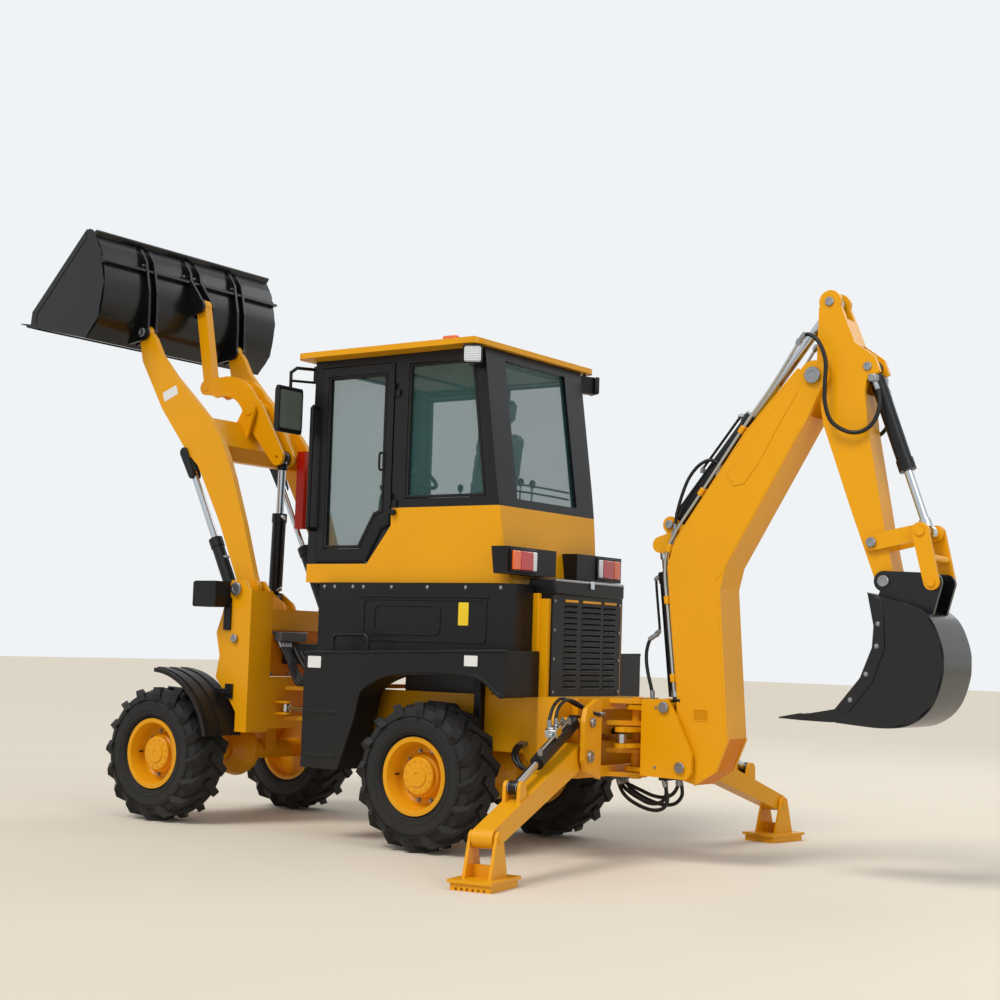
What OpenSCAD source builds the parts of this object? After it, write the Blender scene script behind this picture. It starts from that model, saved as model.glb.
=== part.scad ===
/* [Overall] */
// Distance between the two axles
wheelbase = 2067; // [1980:1:2150]
// Distance between the left and right tyre centres
track = 1230; // [1200:1:1260]
// Distance from the rear axle to the middle of the whole machine
mid_ahead_of_axle = 332; // [310:1:350]

/* [Wheels] */
// Tyre diameter over the lugs
tyre_d = 830; // [815:1:845]
// Tyre width over the lugs
tyre_w = 306; // [296:1:312]
// Seat diameter of the rim
rim_d = 408; // [400:1:416]
// Distance from the tyre's middle to the outer face of the rim flange
rim_half = 127; // [120:1:132]
// Height of the tread lugs
lug_h = 24; // [16:1:28]
// Thickness of one tread lug
lug_t = 46; // [38:1:52]
// Angle of a lug from the axle's direction
lug_rake = 38; // [32:1:44]
// Radius of the axle tubes
axle_r = 62; // [56:1:66]
// Lugs on each side of a tyre
lug_count = 16; // [12:1:18]

/* [Cab] */
// Half the width of the cab over its walls
cab_half = 500; // [480:1:520]
// Underside of the cab
cab_z0 = 1490; // [1480:1:1500]
// Sill of the side and rear windows
cab_belt = 1925; // [1900:1:1950]
// Underside of the roof
cab_z1 = 2830; // [2810:1:2850]
// Thickness of a cab wall
cab_wall = 40; // [34:1:46]
// Thickness of the roof
roof_t = 55; // [40:1:70]
// Half the width of the roof
roof_half = 635; // [610:1:650]
// Thickness of the window glass
glass_t = 6; // [4:1:8]

/* [Loader] */
// Arm centre from the middle plane
arm_y = 418; // [412:1:424]
// Thickness of one arm
arm_t = 40; // [32:1:44]
// Half the width of the loader bucket
bucket_half = 815; // [790:1:840]
// Thickness of the bucket shell
bucket_t = 14; // [10:1:18]

/* [Backhoe] */
// Width of the boom
boom_w = 220; // [200:1:226]
// Width of the dipper
dipper_w = 150; // [140:1:160]
// Width of the backhoe bucket
hoe_w = 380; // [340:1:420]
// Radius of the slewing lugs for the swing rods
swing_r = 170; // [160:1:175]

/* [Stabilizers] */
// Length of a stabilizer leg between its pins
leg_len = 1060; // [1030:1:1080]
// Width of a stabilizer leg
leg_w = 110; // [96:1:120]
// Foot length across the leg
foot_x = 210; // [190:1:230]
// Foot length along the leg
foot_y = 300; // [270:1:320]

/* [Pins] */
// Radius of the large pins
pin_r = 25; // [20:1:28]
// Gap between a turning hole and its pin
pin_c = 0.5; // [0.3:0.1:1]
// Gap between a seated piece and its seat
seat_c = 0.3; // [0.2:0.1:0.5]
// Gap between a cylinder rod and its barrel
rod_c = 0.5; // [0.3:0.1:0.8]
// Gap beside a turning eye
side_c = 6; // [5:1:8]

/* [Hidden] */
$fa = 6;
$fs = 3;

yellow = [0.93, 0.66, 0.05];
black = [0.10, 0.10, 0.11];
chrome = [0.80, 0.80, 0.82];
rubber = [0.06, 0.06, 0.06];
red = [0.72, 0.08, 0.06];

// pins as side-view points: x ahead of the rear axle, z above the ground
A_PIN = [1600, 1445];
B_PIN = [2650, 3155];
E_LOW = [1600, 1140];
E_TOP = [2215, 2332];
C_PIN = [1995, 2640];
D_PIN = [2440, 2827];
F_PIN = [1760, 2328];
G_PIN = [2555, 3400];
H_PIN = [1780, 1400];
ART_X = 1100;
S_X = -975;
BF_PIN = [-1335, 528];
BC_LOW = [-1230, 842];
BC_TOP = [-1128, 1725];
DC_LOW = [-1190, 1835];
BD_PIN = [-2050, 2595];
DC_TOP = [-2120, 2985];
KC_LOW = [-2335, 2628];
KC_TOP = [-2640, 1775];
R_PIN = [-2378, 1722];
L_PIN = [-2700, 1522];
K_PIN = [-2445, 1526];

axle_z = tyre_d / 2;

// stabilizer plane: origin, splay and pins as [along, z]
ST_O = [-900, 540];
st_splay = 9.5;
ST_LEG = [0, 578];
ST_CYL = [-20, 755];
st_drop = asin((578 - 233) / leg_len);
ST_FOOT = [leg_len * cos(st_drop), 578 - leg_len * sin(st_drop)];
ST_LUG = [700, 452];

// helpers
module side(y0, y1) {
  translate([0, y1, 0])
    rotate([90, 0, 0])
      linear_extrude(height = y1 - y0)
        children();
}

module mirror_y() {
  children();
  mirror([0, 1, 0])
    children();
}

// bar in a plane between two points with round ends of two radii
module taper2(p, r1, q, r2) {
  d = norm(q - p);
  a = atan2(q[1] - p[1], q[0] - p[0]);
  g = acos((r1 - r2) / d);
  translate(p)
    circle(r = r1);
  translate(q)
    circle(r = r2);
  polygon([
    p + r1 * 0.998 * [cos(a + g), sin(a + g)],
    q + r2 * 0.998 * [cos(a + g), sin(a + g)],
    q + r2 * 0.998 * [cos(a - g), sin(a - g)],
    p + r1 * 0.998 * [cos(a - g), sin(a - g)]
  ]);
}

// pin across the machine
module ypin(p, r, y0, y1) {
  translate([p[0], y1, p[1]])
    rotate([90, 0, 0])
      cylinder(h = y1 - y0, r = r);
}

// rod between two side-view points in the plane y
module xz_rod(p, q, r, y) {
  translate([p[0], y, p[1]])
    rotate([0, atan2(q[0] - p[0], q[1] - p[1]), 0])
      cylinder(h = norm(q - p), r = r);
}

function along(p, q, t) = p + (q - p) * t / norm(q - p);

// cylinder barrel from its eye at p towards q: body length l, radius r, bore for the rod
module barrel(p, q, l, r, rr, eye, w, pr, y) {
  difference() {
    union() {
      ypin(p, eye, y - w / 2, y + w / 2);
      xz_rod(along(p, q, eye * 0.6), along(p, q, eye + 25), w / 2 - 2, y);
      xz_rod(along(p, q, eye + 14), along(p, q, l), r, y);
      xz_rod(along(p, q, l - 60), along(p, q, l), r + 5, y);
    }
    ypin(p, pr + pin_c, y - w, y + w);
    xz_rod(along(p, q, eye + 50), along(p, q, l + 10), rr + rod_c, y);
  }
}

// rod of length l ending in an eye at q
module rod(p, q, l, rr, eye, w, y) {
  difference() {
    union() {
      ypin(q, eye, y - w / 2, y + w / 2);
      xz_rod(along(q, p, eye * 0.7), along(q, p, l), rr, y);
      xz_rod(along(q, p, eye * 0.65), along(q, p, eye + 35), rr + 7, y);
    }
    ypin(q, eye * 0.5, y - w, y + w);
  }
}

// wheels
module tyre_at(x, s) {
  carc_r = tyre_d / 2 - lug_h;
  hw = tyre_w / 2 - 6;
  bead = rim_half - 12 - seat_c;
  color(rubber)
    translate([x, s * track / 2, axle_z])
      union() {
        rotate([90, 0, 0])
          rotate_extrude()
            polygon([
              [rim_d / 2 + seat_c, -bead], [rim_d / 2 + 18, -bead], [rim_d / 2 + 40, -hw], [carc_r - 80, -hw],
              [carc_r - 16, -hw * 0.84], [carc_r, -hw * 0.55], [carc_r, hw * 0.55], [carc_r - 16, hw * 0.84],
              [carc_r - 80, hw], [rim_d / 2 + 40, hw], [rim_d / 2 + 18, bead], [rim_d / 2 + seat_c, bead]
            ]);
        for (k = [0:lug_count - 1])
          for (m = [0, 1])
            rotate([0, (k + m / 2 + 0.13) * 360 / lug_count, 0])
              mirror([0, m, 0])
                lug();
      }
}

// one tread bar: a flat profile along its length, from the crown to the shoulder
module lug() {
  l = (tyre_w / 2 + 8) / cos(lug_rake);
  reach = l * sin(lug_rake) / 2 + lug_t / 2 * cos(lug_rake);
  top = sqrt(pow(tyre_d / 2, 2) - pow(reach, 2));
  low = tyre_d / 2 - lug_h - 30;
  translate([l * sin(lug_rake) / 2, -8, 0])
    rotate([0, 0, lug_rake])
      translate([lug_t / 2, 0, 0])
        rotate([90, 0, -90])
          linear_extrude(height = lug_t)
            polygon([[-l, low - 36], [-l, top - 44], [40 - l, top], [0, top], [0, low]]);
}

module rim_at(x, s) {
  r = rim_d / 2;
  color(yellow)
    translate([x, s * track / 2, axle_z])
      rotate([-90, 0, 0])
        union() {
          rotate_extrude()
            polygon([
              [r - 14, 12 - rim_half], [r - 6, -rim_half], [r + 12, -rim_half], [r + 12, 12 - rim_half], [r, 12 - rim_half],
              [r, rim_half - 12], [r + 12, rim_half - 12], [r + 12, rim_half], [r - 6, rim_half], [r - 14, rim_half - 12]
            ]);
          rotate_extrude()
            polygon([[50.5, -6], [r - 12, -6], [r - 12, 8], [130, 12], [118, 40], [100, 70], [0, 78], [0, 60], [50.5, 60]]);
        }
}

module axle(x) {
  color(yellow)
    translate([x, 0, axle_z]) {
      rotate([90, 0, 0])
        translate([0, 0, -(track / 2 - 40)])
          cylinder(h = track - 80, r = axle_r);
      rotate([90, 0, 0])
        translate([0, 0, -120])
          rotate_extrude()
            polygon([[0, 0], [90, 0], [150, 60], [165, 110], [165, 130], [150, 180], [90, 240], [0, 240]]);
      rotate([90, 0, 0])
        translate([0, 0, -(track / 2 + 20)])
          cylinder(h = track + 40, r = 50);
    }
}

// forked block that sits over an axle tube
module saddle(x, top) {
  mirror_y()
    side(200, 290)
      difference() {
        translate([x - 80, axle_z - 5])
          square([160, top - axle_z + 6]);
        translate([x, axle_z])
          circle(r = axle_r + seat_c);
      }
}

// rear frame
frame_y = 360;
module rear_chassis() {
  color(yellow) {
    mirror_y()
      side(frame_y, frame_y + 25)
        polygon([[-620, 460], [-620, 1410], [-480, 1410], [-480, 870], [880, 870], [960, 800], [960, 640], [700, 560], [-480, 560], [-560, 460]]);
    for (x = [-200, 300, 620])
      translate([x, -frame_y - 1, 600])
        cube([20, 2 * frame_y + 2, 180]);
    saddle(0, 600);
    translate([-80, -frame_y - 1, 598])
      cube([160, 2 * frame_y + 2, 22]);
    // backhoe frame
    for (z = [450, 850])
      translate([-860, -430, z])
        cube([260, 860, 25]);
    mirror_y()
      translate([-860, 405, 450])
        cube([260, 25, 425]);
    translate([-860, -430, 450])
      cube([20, 860, 60]);
    translate([-860, -430, 815])
      cube([20, 860, 60]);
    // plate that carries the slewing cylinders
    difference() {
      translate([-730, -430, 470])
        cube([25, 860, 400]);
      mirror_y()
        translate([-800, swing_r, 663])
          rotate([0, 90, 0])
            cylinder(h = 200, r = 45 + seat_c);
    }
    // slewing lugs
    for (z = [450, 580, 730, 850])
      translate([0, 0, z])
        linear_extrude(height = 25)
          difference() {
            union() {
              translate([S_X, 0])
                circle(r = 62);
              polygon([[S_X, 62], [-850, 120], [-850, -120], [S_X, -62]]);
            }
          }
    translate([S_X, 0, 440])
      cylinder(h = 445, r = 30);
    // stabilizer brackets
    mirror_y()
      st_frame() {
        for (t = [-95, 70])
          translate([t, 0, 0])
            rotate([90, 0, 90])
              linear_extrude(height = 25)
                polygon([[-170, 450], [-170, 875], [-110, 875], [30, 830], [60, 760], [60, 560], [20, 500], [-60, 480]]);
        for (p = [[ST_LEG, 28], [ST_CYL, 22]])
          translate([-110, p[0][0], p[0][1]])
            rotate([0, 90, 0])
              cylinder(h = 220, r = p[1]);
      }
    // hitch fork
    for (z = [610, 860])
      translate([880, 0, z])
        linear_extrude(height = 25)
          union() {
            translate([ART_X - 880, 0])
              circle(r = 80);
            polygon([[0, -frame_y], [40, -frame_y], [ART_X - 880, -80], [ART_X - 880, 80], [40, frame_y], [0, frame_y]]);
          }
    translate([ART_X, 0, 600])
      cylinder(h = 295, r = 30);
    // steering cylinder ears
    for (z = [720 - 24 - side_c - 12, 720 + 24 + side_c])
      translate([700, 250, z])
        linear_extrude(height = 12)
          union() {
            translate([0, 0])
              circle(r = 34);
            translate([-34, 0])
              square([68, frame_y - 250]);
          }
    translate([700, 250, 672])
      cylinder(h = 96, r = 16);
    // cab mounts
    for (x = [-250, 800])
      mirror_y()
        translate([x, 300, 869])
          cube([90, 80, cab_z0 - 869]);
  }
}

// frame of one stabilizer: first axis across the leg plane, second along it
module st_frame() {
  translate([ST_O[0], ST_O[1], 0])
    rotate([0, 0, st_splay])
      children();
}

module rear_axle() {
  axle(0);
}

module engine_block() {
  color([0.35, 0.35, 0.37])
    translate([-430, -250, 780])
      cube([900, 500, 640]);
}

CAB_SIDE = [[-400, cab_z0], [-345, cab_belt], [-215, cab_z1], [1050, cab_z1], [1065, cab_z0]];

module cab_plan(h, r, x0, x1) {
  hull_r = r;
  union() {
    translate([x0 + hull_r, -h])
      square([x1 - x0 - hull_r, 2 * h]);
    translate([x0, -h + hull_r])
      square([x1 - x0, 2 * h - 2 * hull_r]);
    for (s = [-1, 1])
      translate([x0 + hull_r, s * (h - hull_r)])
        circle(r = hull_r);
  }
}

module cab_solid(o) {
  side(-cab_half - 10, cab_half + 10)
    polygon([
      [CAB_SIDE[0][0] + o, CAB_SIDE[0][1] + (o > 0 ? o : 0)], [CAB_SIDE[1][0] + o, CAB_SIDE[1][1]], [CAB_SIDE[2][0] + o, CAB_SIDE[2][1] + (o > 0 ? 10 : 0)],
      [CAB_SIDE[3][0] - o, CAB_SIDE[3][1] + (o > 0 ? 10 : 0)], [CAB_SIDE[4][0] - o, CAB_SIDE[4][1] + (o > 0 ? o : 0)]
    ]);
}

module cab_shell() {
  difference() {
    intersection() {
      cab_solid(0);
      translate([0, 0, cab_z0])
        linear_extrude(height = cab_z1 - cab_z0)
          cab_plan(cab_half, 90, -400, 1065);
    }
    intersection() {
      cab_solid(cab_wall);
      translate([0, 0, cab_z0 + cab_wall])
        linear_extrude(height = cab_z1 - cab_z0)
          cab_plan(cab_half - cab_wall, 60, -400 + cab_wall, 1065 - cab_wall);
    }
  }
}

// door and windows hang from the roof and stand on the floor and the belt
door_low = cab_z0 + 122;
door_top = cab_z1 - 50;
belt_step = cab_belt - 95;
win_low = cab_belt + 50;
door_knee = door_low + (belt_step - door_low) * 94 / 109;
DOOR = [[430, belt_step], [490, door_knee], [600, door_low], [985, door_low], [990, door_top], [430, door_top]];
DOOR_WIN = [
  [480, belt_step + 70], [540, belt_step + 50], [650, door_low + 78], [935, door_low + 78],
  [940, door_top - 50], [480, door_top - 50]
];
SIDE_WIN = [[-255, win_low], [325, win_low], [325, cab_z1 - 60], [-150, cab_z1 - 60]];
FRONT_WIN = [cab_z0 + 150, cab_z1 - 50];
REAR_WIN = [win_low, cab_z1 - 55];

module door_gap(g) {
  side(cab_half - cab_wall - 10, cab_half + 20)
    polygon([
      [DOOR[0][0] - g, DOOR[0][1] - g], [DOOR[1][0] - g, DOOR[1][1] - g], [DOOR[2][0] - g, DOOR[2][1] - g],
      [DOOR[3][0] + g, DOOR[3][1] - g], [DOOR[4][0] + g, DOOR[4][1] + g], [DOOR[5][0] - g, DOOR[5][1] + g]
    ]);
}

BELT = [
  [-500, cab_z0 - 90], [1200, cab_z0 - 90], [1200, door_low - 12], [595, door_low - 12],
  [425, belt_step - 10], [425, cab_belt], [-500, cab_belt]
];

// knuckles of a door hinge: axis beside the rear post
HINGE = [427, 514];
hinge_z = [cab_belt + 47, cab_z1 - 210];
module knuckle(z, s, h) {
  translate([HINGE[0], cab_half + HINGE[1] - 500, z])
    cylinder(h = h, r = 9);
  translate([HINGE[0] - (s < 0 ? 45 : 0), cab_half - 1, z])
    cube([45, 11, h]);
}

module cab_body() {
  color(yellow)
    difference() {
      intersection() {
        cab_shell();
        side(-cab_half - 50, cab_half + 50)
          polygon(BELT);
      }
      mirror_y()
        door_gap(6);
    }
}

module cab_pillars() {
  color(black)
    mirror_y()
      for (z = hinge_z) {
        knuckle(z - 40, -1, 40);
        translate([HINGE[0], cab_half + HINGE[1] - 500, z - 30])
          cylinder(h = 70, r = 5);
      }
  color(black)
    difference() {
      difference() {
        cab_shell();
        side(-cab_half - 50, cab_half + 50)
          polygon(BELT);
      }
      mirror_y()
        door_gap(6);
      mirror_y()
        side(cab_half - cab_wall - 30, cab_half + 30)
          polygon(SIDE_WIN);
      translate([1000, -430, FRONT_WIN[0]])
        cube([100, 860, FRONT_WIN[1] - FRONT_WIN[0]]);
      translate([-420, -310, REAR_WIN[0]])
        cube([300, 620, REAR_WIN[1] - REAR_WIN[0]]);
    }
}

module cab_glass() {
  color([0.45, 0.60, 0.58, 0.5]) {
    mirror_y()
      side(cab_half - cab_wall / 2 - glass_t / 2, cab_half - cab_wall / 2 + glass_t / 2)
        polygon(SIDE_WIN);
    translate([0, -430, 0])
      intersection() {
        translate([1000, 0, FRONT_WIN[0]])
          cube([100, 860, FRONT_WIN[1] - FRONT_WIN[0]]);
        side(0, 860)
          polygon([[1040, cab_z0], [1040 + glass_t, cab_z0], [1025 + glass_t, cab_z1], [1025, cab_z1]]);
      }
    intersection() {
      translate([-420, -310, REAR_WIN[0]])
        cube([300, 620, REAR_WIN[1] - REAR_WIN[0]]);
      side(-310, 310)
        polygon([[-325, cab_belt], [glass_t - 325, cab_belt], [glass_t - 195, cab_z1], [-195, cab_z1]]);
    }
  }
}

module cab_roof() {
  color(yellow)
    intersection() {
      translate([0, 0, cab_z1])
        linear_extrude(height = roof_t)
          union() {
            translate([-250, -roof_half + 80])
              square([1360, 2 * roof_half - 160]);
            translate([-170, -roof_half])
              square([1200, 2 * roof_half]);
            for (x = [-170, 1030])
              for (s = [-1, 1])
                translate([x, s * (roof_half - 80)])
                  circle(r = 80);
          }
      // crown: edges that fall away to all four sides
      side(-roof_half - 1, roof_half + 1)
        polygon([
          [-260, cab_z1 - 1], [-260, cab_z1 + roof_t * 0.5], [-170, cab_z1 + roof_t], [980, cab_z1 + roof_t],
          [1120, cab_z1 + roof_t * 0.45], [1120, cab_z1 - 1]
        ]);
      translate([-260, 0, 0])
        rotate([90, 0, 90])
          linear_extrude(height = 1380)
            polygon([
              [-roof_half, cab_z1 - 1], [-roof_half, cab_z1 + roof_t * 0.6], [90 - roof_half, cab_z1 + roof_t],
              [roof_half - 90, cab_z1 + roof_t], [roof_half, cab_z1 + roof_t * 0.6], [roof_half, cab_z1 - 1]
            ]);
    }
}

module cab_seat() {
  color([0.35, 0.35, 0.37]) {
    translate([100, -200, cab_z0 + cab_wall])
      cube([380, 400, 300]);
    translate([60, -230, cab_z0 + cab_wall + 299])
      cube([460, 460, 110]);
    translate([20, -220, cab_z0 + cab_wall + 400])
      rotate([0, -8, 0])
        cube([100, 440, 500]);
    translate([-40, -130, cab_z0 + cab_wall + 930])
      cube([80, 260, 160]);
    translate([10, -60, cab_z0 + cab_wall + 800])
      cube([50, 120, 200]);
  }
  color(black) {
    translate([760, -90, cab_z0 + cab_wall])
      cube([120, 180, 560]);
    translate([790, 0, cab_z0 + cab_wall + 520])
      rotate([0, -35, 0]) {
        cylinder(h = 190, r = 25);
        translate([0, 0, 170])
          cylinder(h = 20, r = 190);
      }
  }
}

fend_y = 700;
cover_y = 560;
sheet_t = 8;
WING = [
  [-570, 870], [-570, 1120], [870, 1075], [870, 410], [590, 410], [480, 700], [430, 870], [250, 960], [-250, 985],
  [-400, 960], [-520, 870]
];
module rear_bodywork() {
  color(black) {
    mirror_y() {
      // wing over the wheel with the step box ahead of it, open below and inside
      difference() {
        side(frame_y + 25, fend_y)
          polygon(WING);
        side(frame_y + 24, fend_y - sheet_t)
          polygon([[-570 + sheet_t, 500], [-570 + sheet_t, 1119 - sheet_t], [590, 1082 - sheet_t], [590, 409], [480, 409]]);
      }
      // cover of the engine bay, open inside
      difference() {
        side(frame_y + 25, cover_y)
          polygon([[-520, 1100], [-520, cab_z0 - 5], [900, cab_z0 - 5], [900, 1060]]);
        side(frame_y + 24, cover_y - sheet_t)
          polygon([[-520 + sheet_t, 1120], [-520 + sheet_t, cab_z0 - 5 - sheet_t], [900 - sheet_t, cab_z0 - 5 - sheet_t], [900 - sheet_t, 1078]]);
      }
    }
    // grille box
    difference() {
      translate([-632, -frame_y, 875])
        cube([152, 2 * frame_y, 637]);
      translate([-600, -340, 890])
        cube([140, 680, 600]);
      for (k = [0:14])
        for (c = [[-300, 130], [-140, 200], [110, 130]])
          translate([-640, c[0], 920 + k * 32])
            cube([60, c[1], 12]);
    }
  }
}

function cab_rear(z) = CAB_SIDE[0][0] + (CAB_SIDE[1][0] - CAB_SIDE[0][0]) * (z - cab_z0) / (cab_belt - cab_z0);
module rear_lamps() {
  color(black)
    mirror_y()
      side(110, 600)
        polygon([[-480, 1540], [-480, 1690], [cab_rear(1690) - seat_c, 1690], [cab_rear(1540) - seat_c, 1540]]);
  color(red)
    mirror_y()
      translate([-490, 330, 1560])
        cube([12, 230, 110]);
}

// round bar along a list of points, with a ball at each bend
module bent_bar(pts, r) {
  for (k = [0:len(pts) - 2]) {
    d = pts[k + 1] - pts[k];
    translate(pts[k])
      rotate([0, acos(d[2] / norm(d)), atan2(d[1], d[0])])
        cylinder(h = norm(d), r = r);
    if (k > 0)
      translate(pts[k])
        sphere(r = r + 0.6);
  }
}

// mirrors, grab rails and work lamps
function cab_front(z) = CAB_SIDE[4][0] + (CAB_SIDE[3][0] - CAB_SIDE[4][0]) * (z - cab_z0) / (cab_z1 - cab_z0);
rail_x = 1025;
rail_off = 48;
rail_z = [1810, 2550];
mirror_x = 1146;
module grab_rail() {
  y0 = cab_half + seat_c;
  y1 = cab_half + rail_off;
  bent_bar([
    [rail_x, y0, rail_z[0]], [rail_x, y1 - 13, rail_z[0]], [rail_x, y1, rail_z[0] + 13],
    [rail_x, y1, rail_z[1] - 13], [rail_x, y1 - 13, rail_z[1]], [rail_x, y0, rail_z[1]]
  ], 13);
}

module mirror_set() {
  y0 = cab_half - 30;
  bent_bar([
    [cab_front(cab_z1 - 50) + seat_c, y0, cab_z1 - 40], [mirror_x - 60, y0, cab_z1 - 40], [mirror_x - 20, 590, cab_z1 - 45],
    [mirror_x, 620, cab_z1 - 75], [mirror_x, 620, cab_z1 - 200]
  ], 10);
  bent_bar([
    [cab_front(cab_z1 - 130) + seat_c, y0, cab_z1 - 120], [mirror_x - 60, y0, cab_z1 - 120], [mirror_x, 620, cab_z1 - 125]
  ], 8);
  side(520, 730)
    polygon([
      [mirror_x - 14, 2400], [mirror_x - 14, 2650], [mirror_x - 8, 2665], [mirror_x + 10, 2665], [mirror_x + 22, 2640],
      [mirror_x + 22, 2410], [mirror_x + 10, 2385], [mirror_x - 8, 2385]
    ]);
}

// lamp body with its stem, hung from the roof
module work_lamp(x, y, turn) {
  translate([x, y, cab_z1])
    rotate([0, 0, turn]) {
      translate([-25, -60, -120])
        cube([50, 120, 105]);
      translate([0, 0, -20])
        cylinder(h = 20 - seat_c, r = 11);
    }
}

module cab_fittings() {
  color(black)
    mirror_y() {
      grab_rail();
      mirror_set();
      work_lamp(-195, cab_half + 74, 30);
      work_lamp(1085, 392, 0);
    }
}

module swing_barrels() {
  color(black)
    mirror_y()
      translate([-700, swing_r, 663])
        rotate([0, -90, 0])
          difference() {
            translate([0, 0, -290])
              cylinder(h = 370, r = 45);
            translate([0, 0, -275])
              cylinder(h = 400, r = 20 + rod_c);
          }
}

// doors
module door() {
  color(black)
    side(cab_half - cab_wall + 2, cab_half + 5)
      difference() {
        polygon(DOOR);
        polygon(DOOR_WIN);
      }
  color(black)
    for (z = hinge_z)
      difference() {
        knuckle(z + seat_c, 1, 40);
        translate([HINGE[0], cab_half + HINGE[1] - 500, z - 30])
          cylinder(h = 80, r = 5 + seat_c);
      }
}

module door_glass() {
  color([0.45, 0.60, 0.58, 0.5])
    side(cab_half - cab_wall / 2 - glass_t / 2, cab_half - cab_wall / 2 + glass_t / 2)
      polygon(DOOR_WIN);
}

// front frame
tow_y = 345;
tow_t = 20;
tow_w = 185;
TOWER = [
  [1490, 570], [1490, 1440], [1540, 1500], [1650, 1500], [1690, 1400], [1720, 1294], [1765, 1174], [1730, 1032],
  [1755, 896], [1620, 750], [1575, 690], [1575, 570]
];
module front_chassis() {
  color(yellow) {
    // two towers, each of two plates with a flange behind
    mirror_y() {
      for (y = [tow_y, tow_y + tow_w - tow_t])
        side(y, y + tow_t)
          polygon(TOWER);
      translate([1475, tow_y - 5, 570])
        cube([20, tow_w + 10, 870]);
      ypin(A_PIN, 40, tow_y, tow_y + tow_w + 12);
      ypin(E_LOW, 22, tow_y, tow_y + tow_w + 10);
    }
    // cross members
    translate([1490, -tow_y - 1, 1200])
      cube([270, 2 * tow_y + 2, 130]);
    translate([1490, -tow_y - 1, 590])
      cube([85, 2 * tow_y + 2, 40]);
    // axle saddle
    saddle(wheelbase, 600);
    side(-tow_y - 10, tow_y + 10)
      polygon([[1520, 592], [2300, 592], [2300, 617], [1520, 617]]);
    // tilt cylinder ears
    for (y = [-28 - side_c - 20, 28 + side_c])
      side(y, y + 20)
        union() {
          taper2(H_PIN, 45, [1700, 1330], 60);
          polygon([[1620, 1320], [1760, 1320], [1790, 1360], [1660, 1360]]);
        }
    ypin(H_PIN, 24, -60, 60);
    // hitch lug
    for (z = [642, 828])
      translate([0, 0, z])
        linear_extrude(height = 24)
          difference() {
            union() {
              translate([ART_X, 0])
                circle(r = 75);
              polygon([[ART_X, -75], [1480, -200], [1500, -200], [1500, 200], [1480, 200], [ART_X, 75]]);
            }
            translate([ART_X, 0])
              circle(r = 30 + pin_c);
          }
    translate([1475, -tow_y - 1, 590])
      cube([25, 2 * tow_y + 2, 320]);
    // steering ear
    for (z = [720 - 22 - side_c - 14, 720 + 22 + side_c])
      translate([1480, 250, z])
        linear_extrude(height = 14)
          union() {
            translate([-70, 0])
              circle(r = 32);
            translate([-70, -32])
              square([72, 64]);
          }
  }
}

module front_axle() {
  axle(wheelbase);
}

GUARD_C = [wheelbase, 445];
guard_r = 500;
guard_y = [470, 775];
// from the front axle back to the end of the guard's bracket
guard_reach = 332;
rib_w = 52;
module guard_arc(r, t) {
  intersection() {
    difference() {
      translate(GUARD_C)
        circle(r = r);
      translate(GUARD_C)
        circle(r = r - t);
    }
    polygon([GUARD_C, GUARD_C + [-900, 190], GUARD_C + [-900, 900], GUARD_C + [-40, 900]]);
  }
}

module front_fittings() {
  color(black)
    mirror_y() {
      // wheel guard with three raised ribs and side lips, on its bracket
      side(guard_y[0], guard_y[1])
        guard_arc(guard_r, sheet_t);
      for (k = [0:2])
        translate([0, guard_y[0] + 28 + k * (guard_y[1] - guard_y[0] - 56 - rib_w) / 2, 0])
          side(0, rib_w)
            guard_arc(guard_r + 6, 9);
      for (y = [guard_y[0], guard_y[1] - 10])
        side(y, y + 10)
          guard_arc(guard_r, 26);
      translate([1600, tow_y + tow_w, 800])
        cube([wheelbase - guard_reach - 1600, 30, 30]);
      translate([1600, tow_y + tow_w, 770])
        cube([60, 12, 90]);
      // headlamp box and its post
      side(tow_y + tow_w + 5, tow_y + tow_w + 135)
        polygon([[1662, 1330], [1652, 1400], [1660, 1490], [1835, 1490], [1850, 1480], [1850, 1340], [1840, 1330]]);
      translate([1640, tow_y + tow_w, 1190])
        cube([55, 14, 200]);
    }
  color([0.85, 0.86, 0.88])
    mirror_y()
      translate([1849, tow_y + tow_w + 17, 1345])
        cube([8, 106, 128]);
}

// loader
ARM = [
  [2690, 3095], [2657, 2962], [2451, 2633], [2206, 2343], [2092, 2241], [1874, 1866], [1690, 1480],
  [1600, 1445], [1520, 1460], [1555, 1542], [1662, 1863], [1770, 2146], [1823, 2270], [1900, 2412],
  [1987, 2523], [2171, 2692], [2334, 2837], [2483, 2992], [2552, 3109], [2590, 3150]
];
module loader_arm() {
  color(yellow) {
    mirror_y() {
      side(arm_y - arm_t / 2, arm_y + arm_t / 2)
        difference() {
          union() {
            polygon(ARM);
            translate(A_PIN)
              circle(r = 85);
            translate(B_PIN)
              circle(r = 50);
          }
          translate(A_PIN)
            circle(r = 40 + pin_c);
          translate(B_PIN)
            circle(r = pin_r + pin_c);
        }
      // lug of the lift rod
      side(arm_y - arm_t / 2, arm_y + arm_t / 2)
        taper2(E_TOP, 34, [2120, 2370], 60);
    }
    // cross beam
    side(-arm_y + arm_t / 2 - 1, arm_y - arm_t / 2 + 1)
      difference() {
        polygon([[2215, 2560], [2060, 2560], [1960, 2380], [2000, 2290], [2075, 2290]]);
        polygon([[2188, 2545], [2072, 2545], [1980, 2385], [2008, 2305], [2066, 2305]]);
      }
    // bellcrank brackets
    for (y = [-95, 75])
      side(y, y + 20)
        union() {
          taper2(C_PIN, 50, [2060, 2500], 70);
        }
    ypin(C_PIN, 30, -100, 100);
  }
}

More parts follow.
